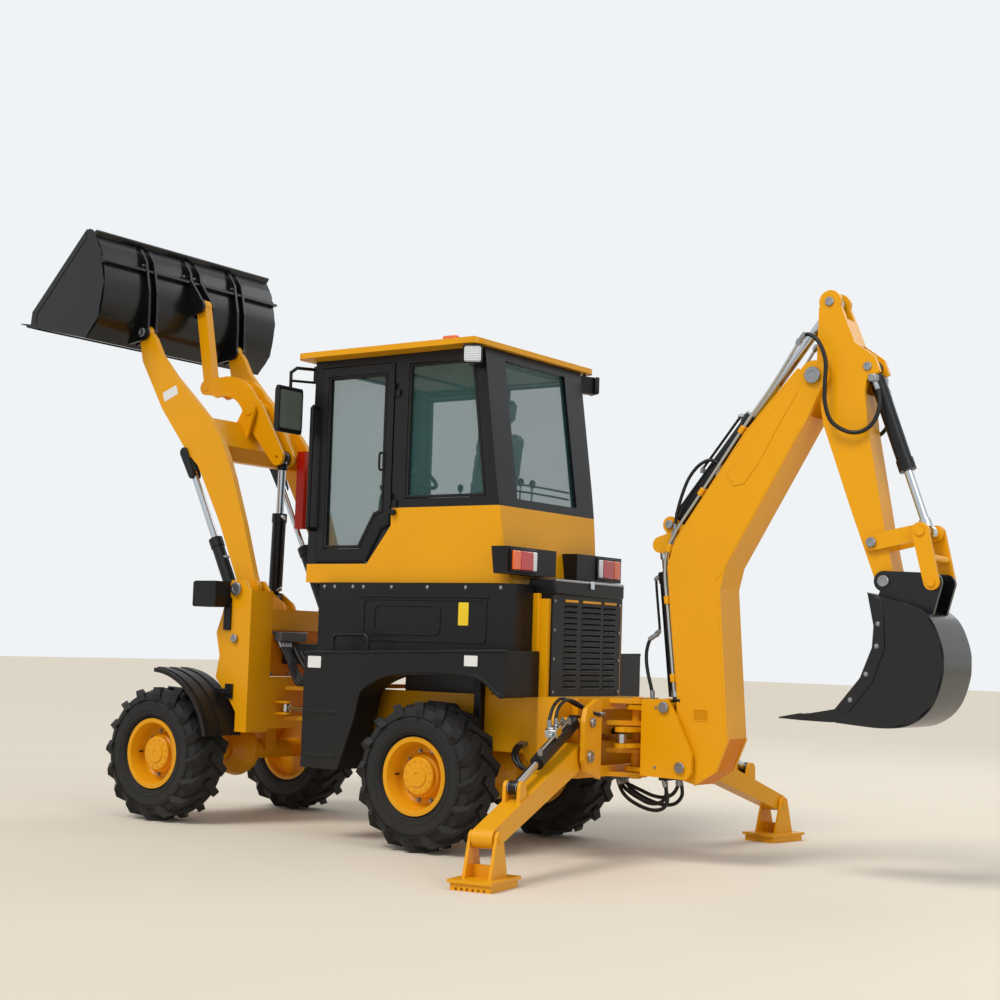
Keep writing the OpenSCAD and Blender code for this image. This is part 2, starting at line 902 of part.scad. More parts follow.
module loader_bellcrank() {
  color(yellow)
    difference() {
      union() {
        for (y = [-62, 40])
          side(y, y + 22)
            union() {
              difference() {
                translate([2250, 2560])
                  circle(r = 330);
                translate([2275, 2545])
                  circle(r = 215);
                polygon([[2100, 2625], [3000, 3100], [3000, 1900], [1700, 1900], [1700, 2420], [1940, 2600]]);
              }
              taper2(C_PIN, 90, F_PIN, 55);
              taper2([2330, 2830], 60, D_PIN, 50);
            }
        ypin(C_PIN, 60, -62, 62);
        ypin([2120, 2800], 40, -62, 62);
        ypin(D_PIN, pin_r, -66, 66);
      }
      ypin(C_PIN, 30 + pin_c, -80, 80);
      ypin(F_PIN, 10, -80, 80);
    }
}

link_w = 86;
module loader_link() {
  d = norm(G_PIN - D_PIN);
  color(yellow)
    translate([D_PIN[0], 0, D_PIN[1]])
      rotate([0, atan2(G_PIN[0] - D_PIN[0], G_PIN[1] - D_PIN[1]), 0])
        difference() {
          union() {
            translate([-link_w / 2, -30, 0])
              cube([link_w, 60, d]);
            for (z = [0, d])
              translate([0, 30, z])
                rotate([90, 0, 0])
                  cylinder(h = 60, r = link_w / 2 + 4);
          }
          translate([0, 40, 0])
            rotate([90, 0, 0])
              cylinder(h = 80, r = pin_r + pin_c);
          translate([0, 40, d])
            rotate([90, 0, 0])
              cylinder(h = 80, r = 20);
        }
}

BUCK = [[2845, 3800], [3350, 3290], [3360, 3205], [2800, 3085], [2700, 3210], [2665, 3430], [2710, 3640], [2790, 3790]];

// rib over the bucket's back, from its top edge down to the hinge
RIB = [
  [2762, 3752], [2705, 3720], [2650, 3640], [2607, 3440], [2600, 3300], [2600, 3170], [2660, 3100], [2830, 3080],
  [2700, 3210], [2662, 3430], [2708, 3645]
];
RIB_TOP = [
  [2762, 3752], [2705, 3720], [2650, 3640], [2607, 3440], [2560, 3350], [2670, 3330], [2664, 3430], [2708, 3645]
];
module loader_bucket() {
  color(black) {
    // side plates
    mirror_y()
      side(bucket_half - bucket_t, bucket_half)
        union() {
          polygon(BUCK);
          translate([2815, 3764])
            circle(r = 36);
        }
    // box along the top edge and ledge below it
    side(-bucket_half + 1, bucket_half - 1)
      polygon([[2770, 3738], [2752, 3748], [2732, 3776], [2742, 3786], [2762, 3780], [2786, 3756]]);
    side(-bucket_half + 1, bucket_half - 1)
      polygon([[2672, 3560], [2640, 3566], [2642, 3580], [2676, 3590], [2690, 3610], [2698, 3590]]);
    // wear plates under the cutting edge
    for (k = [0:3])
      translate([0, -bucket_half + 10 + k * (bucket_half * 2 - 20) / 4, 0])
        side(20, (bucket_half * 2 - 20) / 4 - 20)
          polygon([[3330, 3172], [3330, 3186], [3440, 3213], [3440, 3199]]);
    // shell
    side(-bucket_half, bucket_half)
      polygon([
        [3460, 3216], [3360, 3190], [2805, 3070], [2690, 3200], [2652, 3430], [2700, 3650], [2755, 3745], [2775, 3735],
        [2720, 3640], [2672, 3430], [2708, 3212], [2812, 3090], [3355, 3207], [3460, 3222]
      ]);
    // hinge ears, each the foot of a rib
    for (y = [arm_y - 44, arm_y + 26, -arm_y - 44, -arm_y + 26])
      side(y, y + 18)
        union() {
          translate(B_PIN)
            circle(r = 55);
          polygon(RIB);
        }
    mirror_y()
      ypin(B_PIN, pin_r, arm_y - 46, arm_y + 46);
    // link ears
    for (y = [-56, 36])
      side(y, y + 20)
        union() {
          translate(G_PIN)
            circle(r = 50);
          polygon([[2510, 3420], [2560, 3350], [2670, 3330], [2670, 3430], [2712, 3640], [2680, 3640]]);
          polygon(RIB_TOP);
        }
  }
}

module lift_barrels() {
  color(black)
    mirror_y()
      barrel(E_LOW, E_TOP, 705, 40, 22, 42, 60, 22, arm_y);
}

// rods with a fork over the arm
fork_c = 4;
fork_t = 10;
module lift_rods() {
  w = arm_t / 2 + fork_c;
  color(chrome)
    mirror_y() {
      xz_rod(along(E_TOP, E_LOW, 148), along(E_TOP, E_LOW, 710), 22, arm_y);
      side(arm_y - w - fork_t, arm_y + w + fork_t)
        taper2(along(E_TOP, E_LOW, 154), 20, along(E_TOP, E_LOW, 172), 20);
      for (y = [arm_y - w - fork_t, arm_y + w])
        side(y, y + fork_t)
          taper2(E_TOP, 32, along(E_TOP, E_LOW, 166), 22);
    }
}

module tilt_barrel() {
  color(black)
    barrel(H_PIN, F_PIN, 560, 44, 25, 42, 56, 24, 0);
}

module tilt_rod() {
  color(chrome)
    rod(H_PIN, F_PIN, 480, 25, 42, 60, 0);
}

module arm_prop() {
  color(red)
    translate([1878, seat_c - arm_y + arm_t / 2, 1890])
      cube([70, 55, 525]);
}

module steer_barrel() {
  color(black)
    translate([700, 250, 720])
      rotate([0, 90, 0])
        difference() {
          union() {
            translate([0, 0, 18])
              cylinder(h = 342, r = 26);
            rotate([0, 90, 0])
              translate([0, 0, -24])
                cylinder(h = 48, r = 30);
          }
          rotate([0, 90, 0])
            translate([0, 0, -30])
              cylinder(h = 60, r = 16 + pin_c);
          translate([0, 0, 60])
            cylinder(h = 400, r = 15);
        }
}

module steer_rod() {
  color(chrome)
    translate([1410, 250, 720])
      rotate([0, -90, 0])
        difference() {
          union() {
            translate([0, 0, 20])
              cylinder(h = 420, r = 14);
            rotate([0, 90, 0])
              translate([0, 0, -22])
                cylinder(h = 44, r = 28);
          }
          rotate([0, 90, 0])
            translate([0, 0, -30])
              cylinder(h = 60, r = 12);
        }
}

// backhoe
cheek_y = 130;
module swing_post() {
  color(yellow) {
    mirror_y()
      side(cheek_y - 2, cheek_y + 23)
        polygon([[-1090, 470], [-1090, 880], [-1245, 888], [-1300, 800], [-1400, 600], [-1400, 500], [-1370, 465]]);
    translate([-1110, -cheek_y, 470])
      cube([30, 2 * cheek_y, 410]);
    for (z = [482, 612, 698, 818])
      translate([0, 0, z])
        linear_extrude(height = 25)
          difference() {
            union() {
              translate([S_X, 0])
                circle(r = 65);
              polygon([[S_X, 65], [-1100, 100], [-1100, -100], [S_X, -65]]);
            }
            translate([S_X, 0])
              circle(r = 30 + pin_c);
          }
    ypin(BF_PIN, 32, -cheek_y - 30, cheek_y + 30);
    ypin(BC_LOW, pin_r, -cheek_y - 30, cheek_y + 30);
    // lugs for the swing rods
    for (z = [612, 698])
      translate([0, 0, z])
        linear_extrude(height = 25)
          mirror2()
            union() {
              translate([S_X, swing_r])
                circle(r = 34);
              polygon([[S_X - 34, swing_r], [S_X + 34, swing_r], [S_X + 50, 20], [S_X - 120, 20]]);
            }
  }
}

module mirror2() {
  difference() {
    union() {
      children();
      mirror([0, 1])
        children();
    }
    translate([S_X, 0])
      circle(r = 30 + pin_c);
  }
}

BOOM = [
  [-1282, 470], [-1282, 900], [-1232, 1330], [-1205, 1600], [-1250, 1750], [-1660, 2320], [-1960, 2640],
  [-2110, 2560], [-2013, 2359], [-1560, 1600], [-1530, 1480], [-1590, 690], [-1520, 520], [-1400, 440]
];
module hoe_boom() {
  color(yellow) {
    difference() {
      union() {
        side(-boom_w / 2, boom_w / 2)
          difference() {
            union() {
              polygon(BOOM);
              translate(BD_PIN)
                circle(r = 80);
            }
            translate(BF_PIN)
              circle(r = 32 + pin_c);
          }
      }
      // slot for the dipper
      side(-dipper_w / 2 - side_c, dipper_w / 2 + side_c)
        union() {
          translate(BD_PIN)
            circle(r = 210);
        }
      // slot for the cylinder foot
      side(-58, 58)
        polygon([[-1190, 400], [-1150, 1420], [-1236, 1420], [-1312, 760], [-1312, 640], [-1290, 400]]);
    }
    ypin(BD_PIN, 35, -boom_w / 2 - 12, boom_w / 2 + 12);
    for (y = [-62, 42])
      side(y, y + 20)
        union() {
          taper2(BC_TOP, 45, [-1230, 1740], 60);
          taper2(DC_LOW, 45, [-1260, 1760], 60);
        }
    ypin(DC_LOW, pin_r, -70, 70);
  }
}

DIP = [
  [-2060, 2960], [-2050, 2596], [-2093, 2341], [-2253, 1892], [-2385, 1540], [-2490, 1540], [-2440, 1760],
  [-2340, 2313], [-2320, 2500], [-2330, 2560], [-2400, 2600], [-2370, 2680], [-2260, 2760], [-2180, 2960]
];
module hoe_dipper() {
  color(yellow)
    union() {
      difference() {
        side(-dipper_w / 2, dipper_w / 2)
          difference() {
            union() {
              polygon(DIP);
              translate(DC_TOP)
                circle(r = 60);
              translate(K_PIN)
                circle(r = 52);
              translate(R_PIN)
                circle(r = 45);
            }
            translate(BD_PIN)
              circle(r = 35 + pin_c);
            translate(K_PIN)
              circle(r = pin_r + pin_c);
            translate(DC_TOP)
              circle(r = 12);
          }
        side(-46, 46)
          union() {
            translate(DC_TOP)
              circle(r = 130);
            translate([-2000, 2830])
              circle(r = 110);
            translate(KC_LOW)
              circle(r = 140);
          }
      }
      ypin(R_PIN, 25, -dipper_w / 2 - 32, dipper_w / 2 + 32);
      for (y = [-30 - side_c - 20, 30 + side_c])
        side(y, y + 20)
          union() {
            taper2(KC_LOW, 42, [-2260, 2640], 50);
          }
      ypin(KC_LOW, pin_r, -60, 60);
    }
}

rock_t = 18;
module hoe_rocker() {
  color(yellow)
    mirror_y() {
      side(dipper_w / 2 + side_c, dipper_w / 2 + side_c + rock_t)
        difference() {
          taper2(R_PIN, 42, KC_TOP, 40);
          translate(R_PIN)
            circle(r = 25 + pin_c);
        }
      ypin(KC_TOP, 24, 25 + side_c, dipper_w / 2 + 2 * side_c + 2 * rock_t + 8);
    }
}

module hoe_link() {
  y0 = dipper_w / 2 + 2 * side_c + rock_t;
  color(yellow) {
    mirror_y() {
      side(y0, y0 + rock_t)
        difference() {
          taper2(KC_TOP, 44, L_PIN, 40);
          translate(KC_TOP)
            circle(r = 24 + pin_c);
        }
      ypin(L_PIN, 22, y0 + 1, y0 + rock_t + 10);
    }
    side(-y0 - 1, y0 + 1)
      translate((L_PIN + KC_TOP) / 2 + [-22, -6])
        circle(r = 18);
  }
}

HOE = [
  [-2396, 1466], [-2431, 1299], [-2424, 1193], [-2362, 1040], [-2230, 880], [-2020, 838], [-2020, 826], [-2234, 815],
  [-2493, 800], [-2640, 830], [-2745, 930], [-2795, 1114], [-2760, 1275], [-2691, 1370], [-2565, 1420]
];
HOE_IN = [
  [-2400, 1500], [-2400, 1452], [-2560, 1405], [-2680, 1357], [-2745, 1270], [-2780, 1114], [-2732, 938], [-2633, 845],
  [-2493, 816], [-2234, 831], [-1900, 845], [-1900, 1500]
];
module hoe_bucket() {
  color(black) {
    mirror_y()
      side(hoe_w / 2 - 14, hoe_w / 2)
        polygon(HOE);
    difference() {
      side(-hoe_w / 2, hoe_w / 2)
        polygon(HOE);
      side(-hoe_w / 2 - 1, hoe_w / 2 + 1)
        polygon(HOE_IN);
    }
    for (k = [0:4])
      translate([0, -hoe_w / 2 + 18 + k * (hoe_w - 76) / 4, 0])
        side(0, 40)
          polygon([[-2200, 838], [-2030, 850], [-1915, 826], [-1915, 820], [-2030, 815], [-2200, 812]]);
    mirror_y() {
      side(dipper_w / 2 + side_c, dipper_w / 2 + side_c + 22)
        union() {
          taper2(K_PIN, 52, L_PIN, 46);
          polygon([[-2440, 1530], [-2410, 1420], [-2700, 1350], [-2745, 1510]]);
        }
    }
    ypin(K_PIN, pin_r, -dipper_w / 2 - 30, dipper_w / 2 + 30);
  }
}

module boom_barrel() {
  color(black)
    barrel(BC_LOW, BC_TOP, 740, 46, 26, 44, 56, pin_r, 0);
}

module boom_rod() {
  color(chrome)
    rod(BC_LOW, BC_TOP, 780, 26, 42, 60, 0);
}

module dipper_barrel() {
  color(black)
    barrel(DC_LOW, DC_TOP, 745, 44, 26, 42, 64, pin_r, 0);
}

module dipper_rod() {
  color(chrome)
    rod(DC_LOW, DC_TOP, 800, 26, 42, 56, 0);
}

module bucket_barrel() {
  color(black)
    barrel(KC_LOW, KC_TOP, 570, 40, 23, 40, 60, pin_r, 0);
}

module bucket_rod() {
  color(chrome)
    rod(KC_LOW, KC_TOP, 560, 23, 36, 50, 0);
}

module swing_rod() {
  color(chrome)
    translate([S_X, swing_r, 663])
      rotate([0, 90, 0])
        difference() {
          union() {
            translate([0, 0, 15])
              cylinder(h = 365, r = 20);
            rotate([0, 90, 0])
              translate([0, 0, -24])
                cylinder(h = 48, r = 28);
          }
          rotate([0, 90, 0])
            translate([0, 0, -30])
              cylinder(h = 60, r = 12);
        }
}

// stabilizers
// shapes drawn in the plane of the leg, thickness across it
module st_plane(t0, t1) {
  st_frame()
    translate([t0, 0, 0])
      rotate([90, 0, 90])
        linear_extrude(height = t1 - t0)
          children();
}

module st_pin(p, r, t0, t1) {
  st_plane(t0, t1)
    translate(p)
      circle(r = r);
}

module stab_leg() {
  color(yellow) {
    st_plane(-leg_w / 2, leg_w / 2)
      difference() {
        union() {
          taper2(ST_LEG, 65, ST_FOOT, 48);
        }
        translate(ST_LEG)
          circle(r = 28 + pin_c);
        translate(ST_FOOT)
          circle(r = 20 + pin_c);
      }
    for (t = [-48, 30])
      st_plane(t, t + 18)
        taper2(ST_LUG, 34, [690, 350], 50);
  }
}

module stab_foot() {
  color(yellow) {
    for (t = [-leg_w / 2 - 6 - 16, leg_w / 2 + 6])
      st_plane(t, t + 16)
        union() {
          translate(ST_FOOT)
            circle(r = 36);
          polygon([ST_FOOT + [-36, 0], [ST_FOOT[0] - 90, 45], [ST_FOOT[0] + 90, 45], ST_FOOT + [36, 0]]);
        }
    st_pin(ST_FOOT, 20, -leg_w / 2 - 28, leg_w / 2 + 28);
    st_frame() {
      translate([-foot_x / 2, ST_FOOT[0] - foot_y / 2, 0])
        difference() {
          cube([foot_x, foot_y, 50]);
          for (k = [0:5])
            translate([foot_x * 0.12 + k * foot_x * 0.14, foot_y - 12, -1])
              cube([foot_x * 0.06, 20, 16]);
        }
      translate([-foot_x / 2 - 12, ST_FOOT[0] - foot_y / 2 - 12, 36])
        cube([foot_x + 24, foot_y + 24, 16]);
      translate([-leg_w / 2 - 8, ST_FOOT[0] - 8, 50])
        cube([leg_w + 16, 16, 60]);
    }
  }
}

module stab_barrel() {
  color(black)
    st_cyl(ST_CYL, ST_LUG, 505, 38, 21, 36, 48, 22);
}

module stab_rod() {
  p = ST_CYL;
  q = ST_LUG;
  color(chrome)
    st_frame()
      translate([0, q[0], q[1]])
        rotate([atan2(q[0] - p[0], q[1] - p[1]) * -1, 0, 0])
          difference() {
            union() {
              rotate([180, 0, 0])
                translate([0, 0, 15])
                  cylinder(h = 440, r = 21);
              rotate([0, 90, 0])
                translate([0, 0, -24])
                  cylinder(h = 48, r = 34);
            }
            rotate([0, 90, 0])
              translate([0, 0, -30])
                cylinder(h = 60, r = 12);
          }
}

module st_cyl(p, q, l, r, rr, eye, w, pr) {
  st_frame()
    translate([0, p[0], p[1]])
      rotate([atan2(q[0] - p[0], q[1] - p[1]) * -1, 0, 0])
        difference() {
          union() {
            translate([0, 0, eye * 0.6])
              cylinder(h = l - eye * 0.6, r = r);
            rotate([0, 90, 0])
              translate([0, 0, -w / 2])
                cylinder(h = w, r = eye);
          }
          rotate([0, 90, 0])
            translate([0, 0, -w])
              cylinder(h = 2 * w, r = pr + pin_c);
          translate([0, 0, eye + 30])
            cylinder(h = l, r = rr + rod_c);
        }
}

// placing
module placed(s) {
  translate([-mid_ahead_of_axle, 0, 0])
    mirror([0, s < 0 ? 1 : 0, 0])
      children();
}

placed(1) rear_chassis();
placed(1) rear_axle();
placed(1) engine_block();
placed(1) cab_body();
placed(1) cab_pillars();
placed(1) cab_roof();
placed(1) cab_glass();
placed(1) cab_seat();
placed(1) rear_bodywork();
placed(1) rear_lamps();
placed(1) cab_fittings();
placed(1) swing_barrels();
placed(1) door();  // door_l
placed(-1) door();  // door_r
placed(1) door_glass();  // door_glass_l
placed(-1) door_glass();  // door_glass_r
placed(1) front_chassis();
placed(1) front_axle();
placed(1) front_fittings();
placed(1) tyre_at(wheelbase, 1);  // tyre_fl
placed(-1) tyre_at(wheelbase, 1);  // tyre_fr
placed(1) tyre_at(0, 1);  // tyre_rl
placed(-1) tyre_at(0, 1);  // tyre_rr
placed(1) rim_at(wheelbase, 1);  // rim_fl
placed(-1) rim_at(wheelbase, 1);  // rim_fr
placed(1) rim_at(0, 1);  // rim_rl
placed(-1) rim_at(0, 1);  // rim_rr
placed(1) loader_arm();
placed(1) loader_bellcrank();
placed(1) loader_link();
placed(1) loader_bucket();
placed(1) lift_barrels();
placed(1) lift_rods();
placed(1) tilt_barrel();
placed(1) tilt_rod();
placed(1) arm_prop();
placed(1) steer_barrel();
placed(1) steer_rod();
placed(1) swing_post();
placed(1) hoe_boom();
placed(1) hoe_dipper();
placed(1) hoe_bucket();
placed(1) hoe_rocker();
placed(1) hoe_link();
placed(1) boom_barrel();
placed(1) boom_rod();
placed(1) dipper_barrel();
placed(1) dipper_rod();
placed(1) bucket_barrel();
placed(1) bucket_rod();
placed(1) swing_rod();  // swing_rod_l
placed(-1) swing_rod();  // swing_rod_r
placed(1) stab_leg();  // stab_leg_l
placed(-1) stab_leg();  // stab_leg_r
placed(1) stab_foot();  // stab_foot_l
placed(-1) stab_foot();  // stab_foot_r
placed(1) stab_barrel();  // stab_barrel_l
placed(-1) stab_barrel();  // stab_barrel_r
placed(1) stab_rod();  // stab_rod_l
placed(-1) stab_rod();  // stab_rod_r
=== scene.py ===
"""Backhoe loader: paint, glass, rubber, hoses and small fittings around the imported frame."""

import math

import bmesh
import bpy
from mathutils import Matrix, Vector


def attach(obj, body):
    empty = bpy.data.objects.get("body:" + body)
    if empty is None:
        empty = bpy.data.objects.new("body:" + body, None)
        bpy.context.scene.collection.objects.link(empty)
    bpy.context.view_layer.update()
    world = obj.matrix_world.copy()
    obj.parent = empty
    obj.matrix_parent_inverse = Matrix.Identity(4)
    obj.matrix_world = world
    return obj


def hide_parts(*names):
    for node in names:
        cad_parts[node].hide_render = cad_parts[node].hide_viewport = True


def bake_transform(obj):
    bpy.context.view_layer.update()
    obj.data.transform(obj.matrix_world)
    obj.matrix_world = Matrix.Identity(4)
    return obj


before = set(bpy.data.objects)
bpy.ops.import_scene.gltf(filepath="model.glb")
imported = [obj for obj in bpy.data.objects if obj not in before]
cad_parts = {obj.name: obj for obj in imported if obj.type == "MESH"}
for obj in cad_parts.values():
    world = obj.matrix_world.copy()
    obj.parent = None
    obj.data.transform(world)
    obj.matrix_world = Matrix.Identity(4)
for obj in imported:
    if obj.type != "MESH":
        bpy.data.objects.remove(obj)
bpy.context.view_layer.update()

# points are written in millimetres from the rear axle, as the machine is drawn
MID = 332.0
SIDES = (("l", 1.0), ("r", -1.0))
REAR, FRONT = "rear_frame", "front_frame"
BOOM, POST = "hoe_boom", "swing_post"


def P(x, y, z):
    """A point in metres in the row frame."""
    return Vector(((x - MID) / 1000.0, y / 1000.0, z / 1000.0))


def on_side(s, points):
    """Millimetre points with y turned to the side s."""
    return [(x, s * y, z) for x, y, z in points]


# camera, fitted to the picture
YAW, PITCH, ROLL = math.radians(54.481), math.radians(5.015), math.radians(1.807)
EYE = P(-5774.0, 8095.5, 1132.8)
FOCAL = 60.63
ahead = Vector((math.cos(YAW) * math.cos(PITCH), -math.sin(YAW) * math.cos(PITCH), math.sin(PITCH)))
right = Vector((-math.sin(YAW), -math.cos(YAW), 0.0))
up = right.cross(ahead)
right, up = math.cos(ROLL) * right + math.sin(ROLL) * up, -math.sin(ROLL) * right + math.cos(ROLL) * up
cam_data = bpy.data.cameras.new("camera")
cam_data.sensor_width = 36.0
cam_data.lens = FOCAL
cam_data.clip_start, cam_data.clip_end = 0.1, 200.0
cam = bpy.data.objects.new("camera", cam_data)
bpy.context.scene.collection.objects.link(cam)
place = Matrix.Identity(4)
for k in range(3):
    place[k][0], place[k][1], place[k][2] = right[k], up[k], -ahead[k]
place.translation = EYE
cam.matrix_world = place
bpy.context.scene.camera = cam


# materials
def srgb(r, g, b):
    """A linear colour from screen values 0 to 255."""
    shares = [c / 255.0 for c in (r, g, b)]
    return (*[c / 12.92 if c <= 0.04045 else ((c + 0.055) / 1.055) ** 2.4 for c in shares], 1.0)


def add(tree, kind, **inputs):
    """A new shader node with its inputs set; an underscore stands for a space in an input's name."""
    n = tree.nodes.new("ShaderNode" + kind)
    for key, value in inputs.items():
        n.inputs[key.replace("_", " ")].default_value = value
    return n


def surface(name):
    """A new material, its node tree, its shader and the object coordinates."""
    m = bpy.data.materials.new(name)
    m.use_nodes = True
    tree = m.node_tree
    return m, tree, tree.nodes["Principled BSDF"], add(tree, "TexCoord").outputs["Object"]


def noise(tree, where, scale, detail):
    n = add(tree, "TexNoise", Scale=scale, Detail=detail)
    tree.links.new(where, n.inputs["Vector"])
    return n.outputs["Fac"]


def mixed(tree, share, low, high):
    """A colour between high and low, which is a colour or another node's output."""
    n = add(tree, "Mix")
    n.data_type = "RGBA"
    if isinstance(low, bpy.types.NodeSocket):
        tree.links.new(low, n.inputs[6])
    else:
        n.inputs[6].default_value = low
    n.inputs[7].default_value = high
    tree.links.new(share, n.inputs[0])
    return n.outputs[2]


def combined(tree, operation, a, b):
    n = add(tree, "Math")
    n.operation = operation
    n.use_clamp = True
    tree.links.new(a, n.inputs[0])
    tree.links.new(b, n.inputs[1])
    return n.outputs[0]


def scaled(colour, k):
    return (*[min(1.0, c * k) for c in colour[:3]], 1.0)


DUST = srgb(176, 160, 134)
DUST_TOP = 1.1


def material(
    name, colour, rough, metal=0.0, vary=0.08, dust=0.0, bump=0.02, grain=180.0, coat=0.0, rough_vary=0.08,
    blotch=2.5, spec=0.5,
):
    """A painted, cast or moulded finish: broad variation, fine grain, patchy gloss and dust low down."""
    colour = srgb(*colour)
    m, tree, shader, where = surface(name)
    link = tree.links.new
    settings = {"Metallic": metal, "Coat Weight": coat, "Specular IOR Level": spec, "Coat Roughness": 0.12}
    for key, value in settings.items():
        shader.inputs[key].default_value = value
    broad = noise(tree, where, blotch, 6.0)
    out = mixed(tree, broad, scaled(colour, 1.0 - vary), scaled(colour, 1.0 + vary))
    if dust > 0.0:
        split = add(tree, "SeparateXYZ")
        link(where, split.inputs[0])
        low = add(tree, "MapRange", From_Min=DUST_TOP, From_Max=0.0, To_Min=0.0, To_Max=dust)
        link(split.outputs["Z"], low.inputs["Value"])
        out = mixed(tree, combined(tree, "MULTIPLY", low.outputs["Result"], broad), out, DUST)
    link(out, shader.inputs["Base Color"])
    gloss = add(tree, "MapRange", To_Min=max(0.03, rough - rough_vary), To_Max=min(1.0, rough + rough_vary))
    link(broad, gloss.inputs["Value"])
    link(gloss.outputs["Result"], shader.inputs["Roughness"])
    if bump > 0.0:
        relief = add(tree, "Bump", Strength=bump, Distance=0.002)
        link(noise(tree, where, grain, 3.0), relief.inputs["Height"])
        link(relief.outputs["Normal"], shader.inputs["Normal"])
    return m


def plain(name, colour, rough, scale, detail, ratio, alpha=1.0):
    """A clear or matt surface that changes a little between colour and ratio times it."""
    colour = srgb(*colour)
    m, tree, shader, where = surface(name)
    shader.inputs["Roughness"].default_value = rough
    shader.inputs["Alpha"].default_value = alpha
    out = mixed(tree, noise(tree, where, scale, detail), colour, scaled(colour, ratio))
    tree.links.new(out, shader.inputs["Base Color"])
    return m


YELLOW = material(
    "paint_yellow", (228, 158, 0), 0.34, vary=0.05, dust=0.06, bump=0.012, coat=0.04, spec=0.25,
)
# painted shade: the yellow made deeper orange for the inside of the boom's open foot and for the bulkhead
# between the towers, where shade falls
DEEP_PAINTED_SHADE = material("yellow_deep_painted_shade", (212, 122, 0), 0.45, vary=0.12, dust=0.04, bump=0.02, spec=0.15)
# painted shade: a darker yellow for the floor of the boom's recessed pocket
POCKET_PAINTED_SHADE = material("yellow_pocket_painted_shade", (206, 136, 0), 0.45, vary=0.08, dust=0.04, bump=0.02, spec=0.15)
BLACK = material("paint_black", (16, 16, 19), 0.34, vary=0.3, dust=0.04, bump=0.015, spec=0.28)
SATIN = material("paint_satin", (15, 15, 17), 0.42, vary=0.3, dust=0.04, bump=0.03, spec=0.26)
BUCKET = material("paint_bucket", (13, 14, 16), 0.24, vary=0.35, dust=0.03, bump=0.03, spec=0.4)
STEEL = material("steel_worn", (150, 152, 156), 0.38, metal=1.0, vary=0.15, bump=0.05, grain=90.0)
CHROME = material("chrome", (190, 196, 202), 0.16, metal=1.0, vary=0.03, bump=0.0, rough_vary=0.05)
RUBBER = material(
    "rubber_tyre", (23, 24, 26), 0.66, vary=0.25, dust=0.05, bump=0.10, grain=120.0, rough_vary=0.1,
    spec=0.3,
)
HOSE = material("rubber_hose", (15, 15, 16), 0.45, vary=0.15, bump=0.06, grain=400.0, spec=0.35)
SEAL = material("rubber_seal", (14, 14, 15), 0.55, vary=0.15, bump=0.05, grain=300.0, spec=0.3)
CLOTH = material("seat_cloth", (92, 112, 120), 0.5, vary=0.2, bump=0.35, grain=38.0, coat=0.35)
PIPE = material("zinc_pipe", (176, 178, 172), 0.34, metal=0.85, vary=0.08, bump=0.02, grain=200.0)
CAST = material("cast_grey", (84, 86, 90), 0.5, vary=0.15, bump=0.08, grain=150.0)
RED = material("paint_red", (190, 30, 12), 0.34, vary=0.08, bump=0.015, spec=0.3)
LENS_RED = material("lens_red", (196, 22, 26), 0.12, vary=0.12, bump=0.15, grain=160.0, coat=0.6)
LENS_AMBER = material("lens_amber", (236, 100, 24), 0.14, vary=0.1, bump=0.15, grain=160.0, coat=0.6)
LENS_CLEAR = material("lens_clear", (232, 234, 236), 0.1, vary=0.05, bump=0.15, grain=140.0, coat=0.6)
PLATE = material("plate_white", (226, 226, 222), 0.35, vary=0.03, bump=0.01)
PLATE_Y = material("plate_yellow", (238, 200, 20), 0.35, vary=0.03, bump=0.01)
GOLD = material("plate_gold", (196, 160, 84), 0.3, metal=0.8, vary=0.06, bump=0.02)
GLASS = plain("window_glass", (52, 96, 92), 0.03, 3.0, 2.0, 1.25, alpha=0.3)
# painted reflection: a blotched grey-green colour stands in for what the mirrors reflect; the small
# metalness adds some real reflection
MIRROR_PAINTED_REFLECTION = material(
    "mirror_painted_reflection", (112, 122, 114), 0.1, metal=0.3, vary=0.25, bump=0.0, rough_vary=0.02, blotch=6.0,
)
LINING = material("cab_lining", (46, 48, 50), 0.7, vary=0.12, bump=0.1, grain=260.0)
CREAM = material("roof_lining", (164, 160, 146), 0.8, vary=0.08, bump=0.2, grain=320.0)


# making pieces
def finish_mesh(name, bm, mat, body, smooth=40.0, bevel=0.0):
    """Makes a piece of the mesh, with sharp edges above the smooth angle and beveled ones where asked."""
    bmesh.ops.recalc_face_normals(bm, faces=bm.faces)
    me = bpy.data.meshes.new(name)
    bm.to_mesh(me)
    bm.free()
    me.materials.append(mat)
    me.shade_smooth()
    me.set_sharp_from_angle(angle=math.radians(smooth))
    o = bpy.data.objects.new(name, me)
    bpy.context.scene.collection.objects.link(o)
    if bevel:
        mod = o.modifiers.new("edge", "BEVEL")
        mod.width = bevel / 1000.0
        mod.segments = 2
        mod.limit_method = "ANGLE"
        mod.angle_limit = math.radians(35.0)
    if body:
        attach(o, body)
    return o


